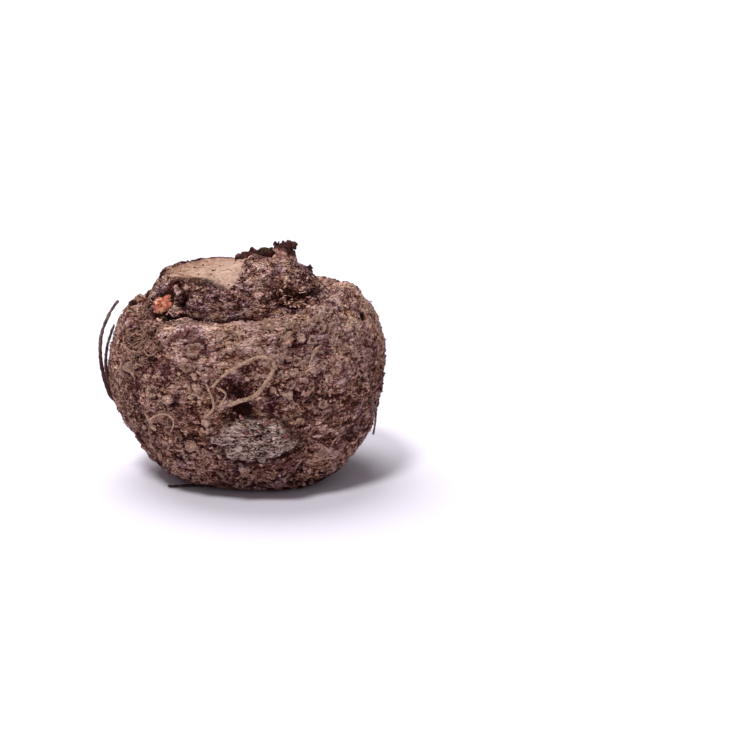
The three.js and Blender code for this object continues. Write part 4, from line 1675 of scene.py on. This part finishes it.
def add_flake(bm, shades, place, normal, radius, lifted, rng):
    """A thin curled flake, lifted from the skin on one side."""
    side, up = tangents(normal)
    basis = Matrix((side, up, normal)).transposed().to_4x4()
    tilt = Matrix.Rotation(rng.gauss(0, lifted), 4, side)
    tilt = tilt @ Matrix.Rotation(rng.gauss(0, lifted * 0.6), 4, up)
    spin = Matrix.Rotation(rng.gauss(0, 0.7), 4, normal)
    stretch = Matrix.Diagonal((1.25, rng.uniform(0.4, 0.85), 1, 1))
    matrix = Matrix.Translation(place + normal * 0.3 * MM) @ tilt @ spin @ basis @ stretch
    made = bmesh.ops.create_cone(
        bm,
        cap_ends=True,
        cap_tris=True,
        segments=rng.choice((5, 6, 8)),
        radius1=radius,
        radius2=radius * 0.8,
        depth=0.28 * MM,
        matrix=matrix,
    )
    curl = rng.uniform(-0.1, 0.35) / radius
    shade = rng.random()
    for vert in made["verts"]:
        away = vert.co - place
        flat = away - normal * away.dot(normal)
        jag = 1 + 0.8 * noise.noise(vert.co / (1.1 * MM))
        vert.co = place + away * jag + normal * curl * flat.length_squared
        vert[shades] = shade


def flake_material(settings):
    """The skin's own colours; each flake has a tone of its own."""
    s = Shader("papery_flakes", roughness=0.85)
    grain = s.noise(1.4 * MM, 4.0, 0.7, seed=1.0)
    tone = 0.5 + (s.attribute("shade") - 0.5) * 0.6 + (grain - 0.5) * 1.2
    colour = s.ramp(tone, *zip((0.14, 0.34, 0.56, 0.78, 0.95), skin_colours(settings)))
    patches = s.noise(24 * MM, 3.0, 0.6, seed=1.0)
    colour = s.tint(patches.band(0.42, 0.60), colour, settings.purple)
    return s.finish(colour, s.bump(grain, 0.5 * MM, 0.8))


class YAM_OT_flakes(bpy.types.Operator):
    """Strews papery flakes of old skin"""

    bl_idname = "yam.flakes"
    bl_label = "Flakes"

    def execute(self, context):
        settings = context.scene.yam_loose
        rng = random.Random(SEED + 5)
        skin = finished_skin()
        fields = (read_attribute(skin.mesh, name) for name in ("scar_way", "crack_way", "dish", "fold"))
        scar, crack, dish, fold = fields
        bm = bmesh.new()
        shades = bm.verts.layers.float.new("shade")
        made = 0
        while made < settings.flake_count:
            i = rng.randrange(len(skin.places))
            near_crack = 0.8 < crack[i] < 3.5
            if skin.places[i][2] < LOWEST_FLAKE or scar[i] < 2 or (not near_crack and rng.random() < 0.3):
                continue
            if fold[i] > 0.3 or (dish[i] > 0.5 and not near_crack and rng.random() < 0.5):
                continue
            radius = settings.flake_size * rng.choice((0.5, 0.6, 0.75, 0.9, 1.1, 1.5))
            lifted = 0.5 if near_crack else 0.28
            add_flake(bm, shades, Vector(skin.places[i]), Vector(skin.normals[i]), radius, lifted, rng)
            made += 1
        for vert in bm.verts:
            vert.co.z = max(vert.co.z, 0.1 * MM)
        piece(object_from(bm, "papery_flakes", flake_material(context.scene.yam_skin)), "corm_skin")
        return {"FINISHED"}


# ---- Stage ----


class YAM_OT_stage(bpy.types.Operator):
    """Sets the pale floor, the soft light and the camera"""

    bl_idname = "yam.stage"
    bl_label = "Stage"

    def execute(self, context):
        scene = context.scene
        settings = scene.yam_stage
        bm = bmesh.new()
        bmesh.ops.create_grid(bm, x_segments=1, y_segments=1, size=FLOOR_REACH)
        paper = Shader("floor_paper", roughness=0.6, shine=0.0)
        tone = paper.noise(0.4, 2.0, seed=1.0)
        lilac_white = paper.mix(tone, (0.83, 0.80, 0.89), (0.85, 0.82, 0.91))
        object_from(bm, "floor", paper.finish(lilac_white))

        world = bpy.data.worlds.new("studio")
        world.use_nodes = True
        background = world.node_tree.nodes["Background"]
        background.inputs["Color"].default_value = (0.97, 0.95, 1.0, 1)
        background.inputs["Strength"].default_value = settings.sky_light
        scene.world = world
        add_broad_light("overhead", Vector((-0.25, 0.4, 1.0)), 45, settings.top_light)
        add_broad_light("front_left", Vector((-0.25, -0.47, 1.0)), 12, settings.front_light)
        scene.view_settings.view_transform = "Standard"

        tilt = settings.elevation
        back = Vector((0, -math.cos(tilt), math.sin(tilt)))
        data = bpy.data.cameras.new("camera")
        data.sensor_width = SENSOR_WIDTH
        data.lens = SENSOR_WIDTH * settings.distance / settings.view_width
        scene.camera = add_aimed("camera", data, back)
        scene.camera.location = CORM_FOOT + Vector(LOOKED_AT) * MM + back * settings.distance
        return {"FINISHED"}


def add_aimed(name, data, back):
    """A camera or a light that looks away from the direction back."""
    obj = add_object(name, data)
    obj.rotation_mode = "QUATERNION"
    obj.rotation_quaternion = back.to_track_quat("Z", "Y")
    return obj


def add_broad_light(name, from_way, softness, strength):
    """Light from a wide part of the sky; softness is the width of that part in degrees."""
    data = bpy.data.lights.new(name, "SUN")
    data.angle = math.radians(softness)
    data.energy = strength
    add_aimed(name, data, from_way).location = from_way


# ---- Add-on ----


class YAM_PT_panel(bpy.types.Panel):
    """Lists the yam's pieces and their settings"""

    bl_label = "Elephant Foot Yam"
    bl_idname = "YAM_PT_panel"
    bl_space_type = "VIEW_3D"
    bl_region_type = "UI"
    bl_category = "Yam"

    def draw(self, context):
        for operator in OPERATORS:
            self.layout.operator(operator.bl_idname)
        for name, settings in SETTINGS.items():
            for key in settings.__annotations__:
                self.layout.prop(getattr(context.scene, name), key)


OPERATORS = (
    YAM_OT_skin,
    YAM_OT_bud,
    YAM_OT_sheath,
    YAM_OT_scales,
    YAM_OT_soil,
    YAM_OT_roots,
    YAM_OT_fibres,
    YAM_OT_flakes,
    YAM_OT_stage,
)
SETTINGS = {
    "yam_skin": YamSkinSettings,
    "yam_loose": YamLooseSettings,
    "yam_root": YamRootSettings,
    "yam_stage": YamStageSettings,
}
CLASSES = (*SETTINGS.values(), *OPERATORS, YAM_PT_panel)


def register():
    for cls in CLASSES:
        bpy.utils.register_class(cls)
    for name, settings in SETTINGS.items():
        setattr(bpy.types.Scene, name, PointerProperty(type=settings))


def unregister():
    for name in SETTINGS:
        delattr(bpy.types.Scene, name)
    for cls in reversed(CLASSES):
        bpy.utils.unregister_class(cls)


def main():
    register()
    bpy.ops.yam.skin()
    bpy.ops.yam.bud()
    bpy.ops.yam.sheath()
    bpy.ops.yam.scales()
    bpy.ops.yam.soil()
    bpy.ops.yam.roots()
    bpy.ops.yam.fibres()
    bpy.ops.yam.flakes()
    bpy.ops.yam.stage()


if __name__ == "__main__":
    main()
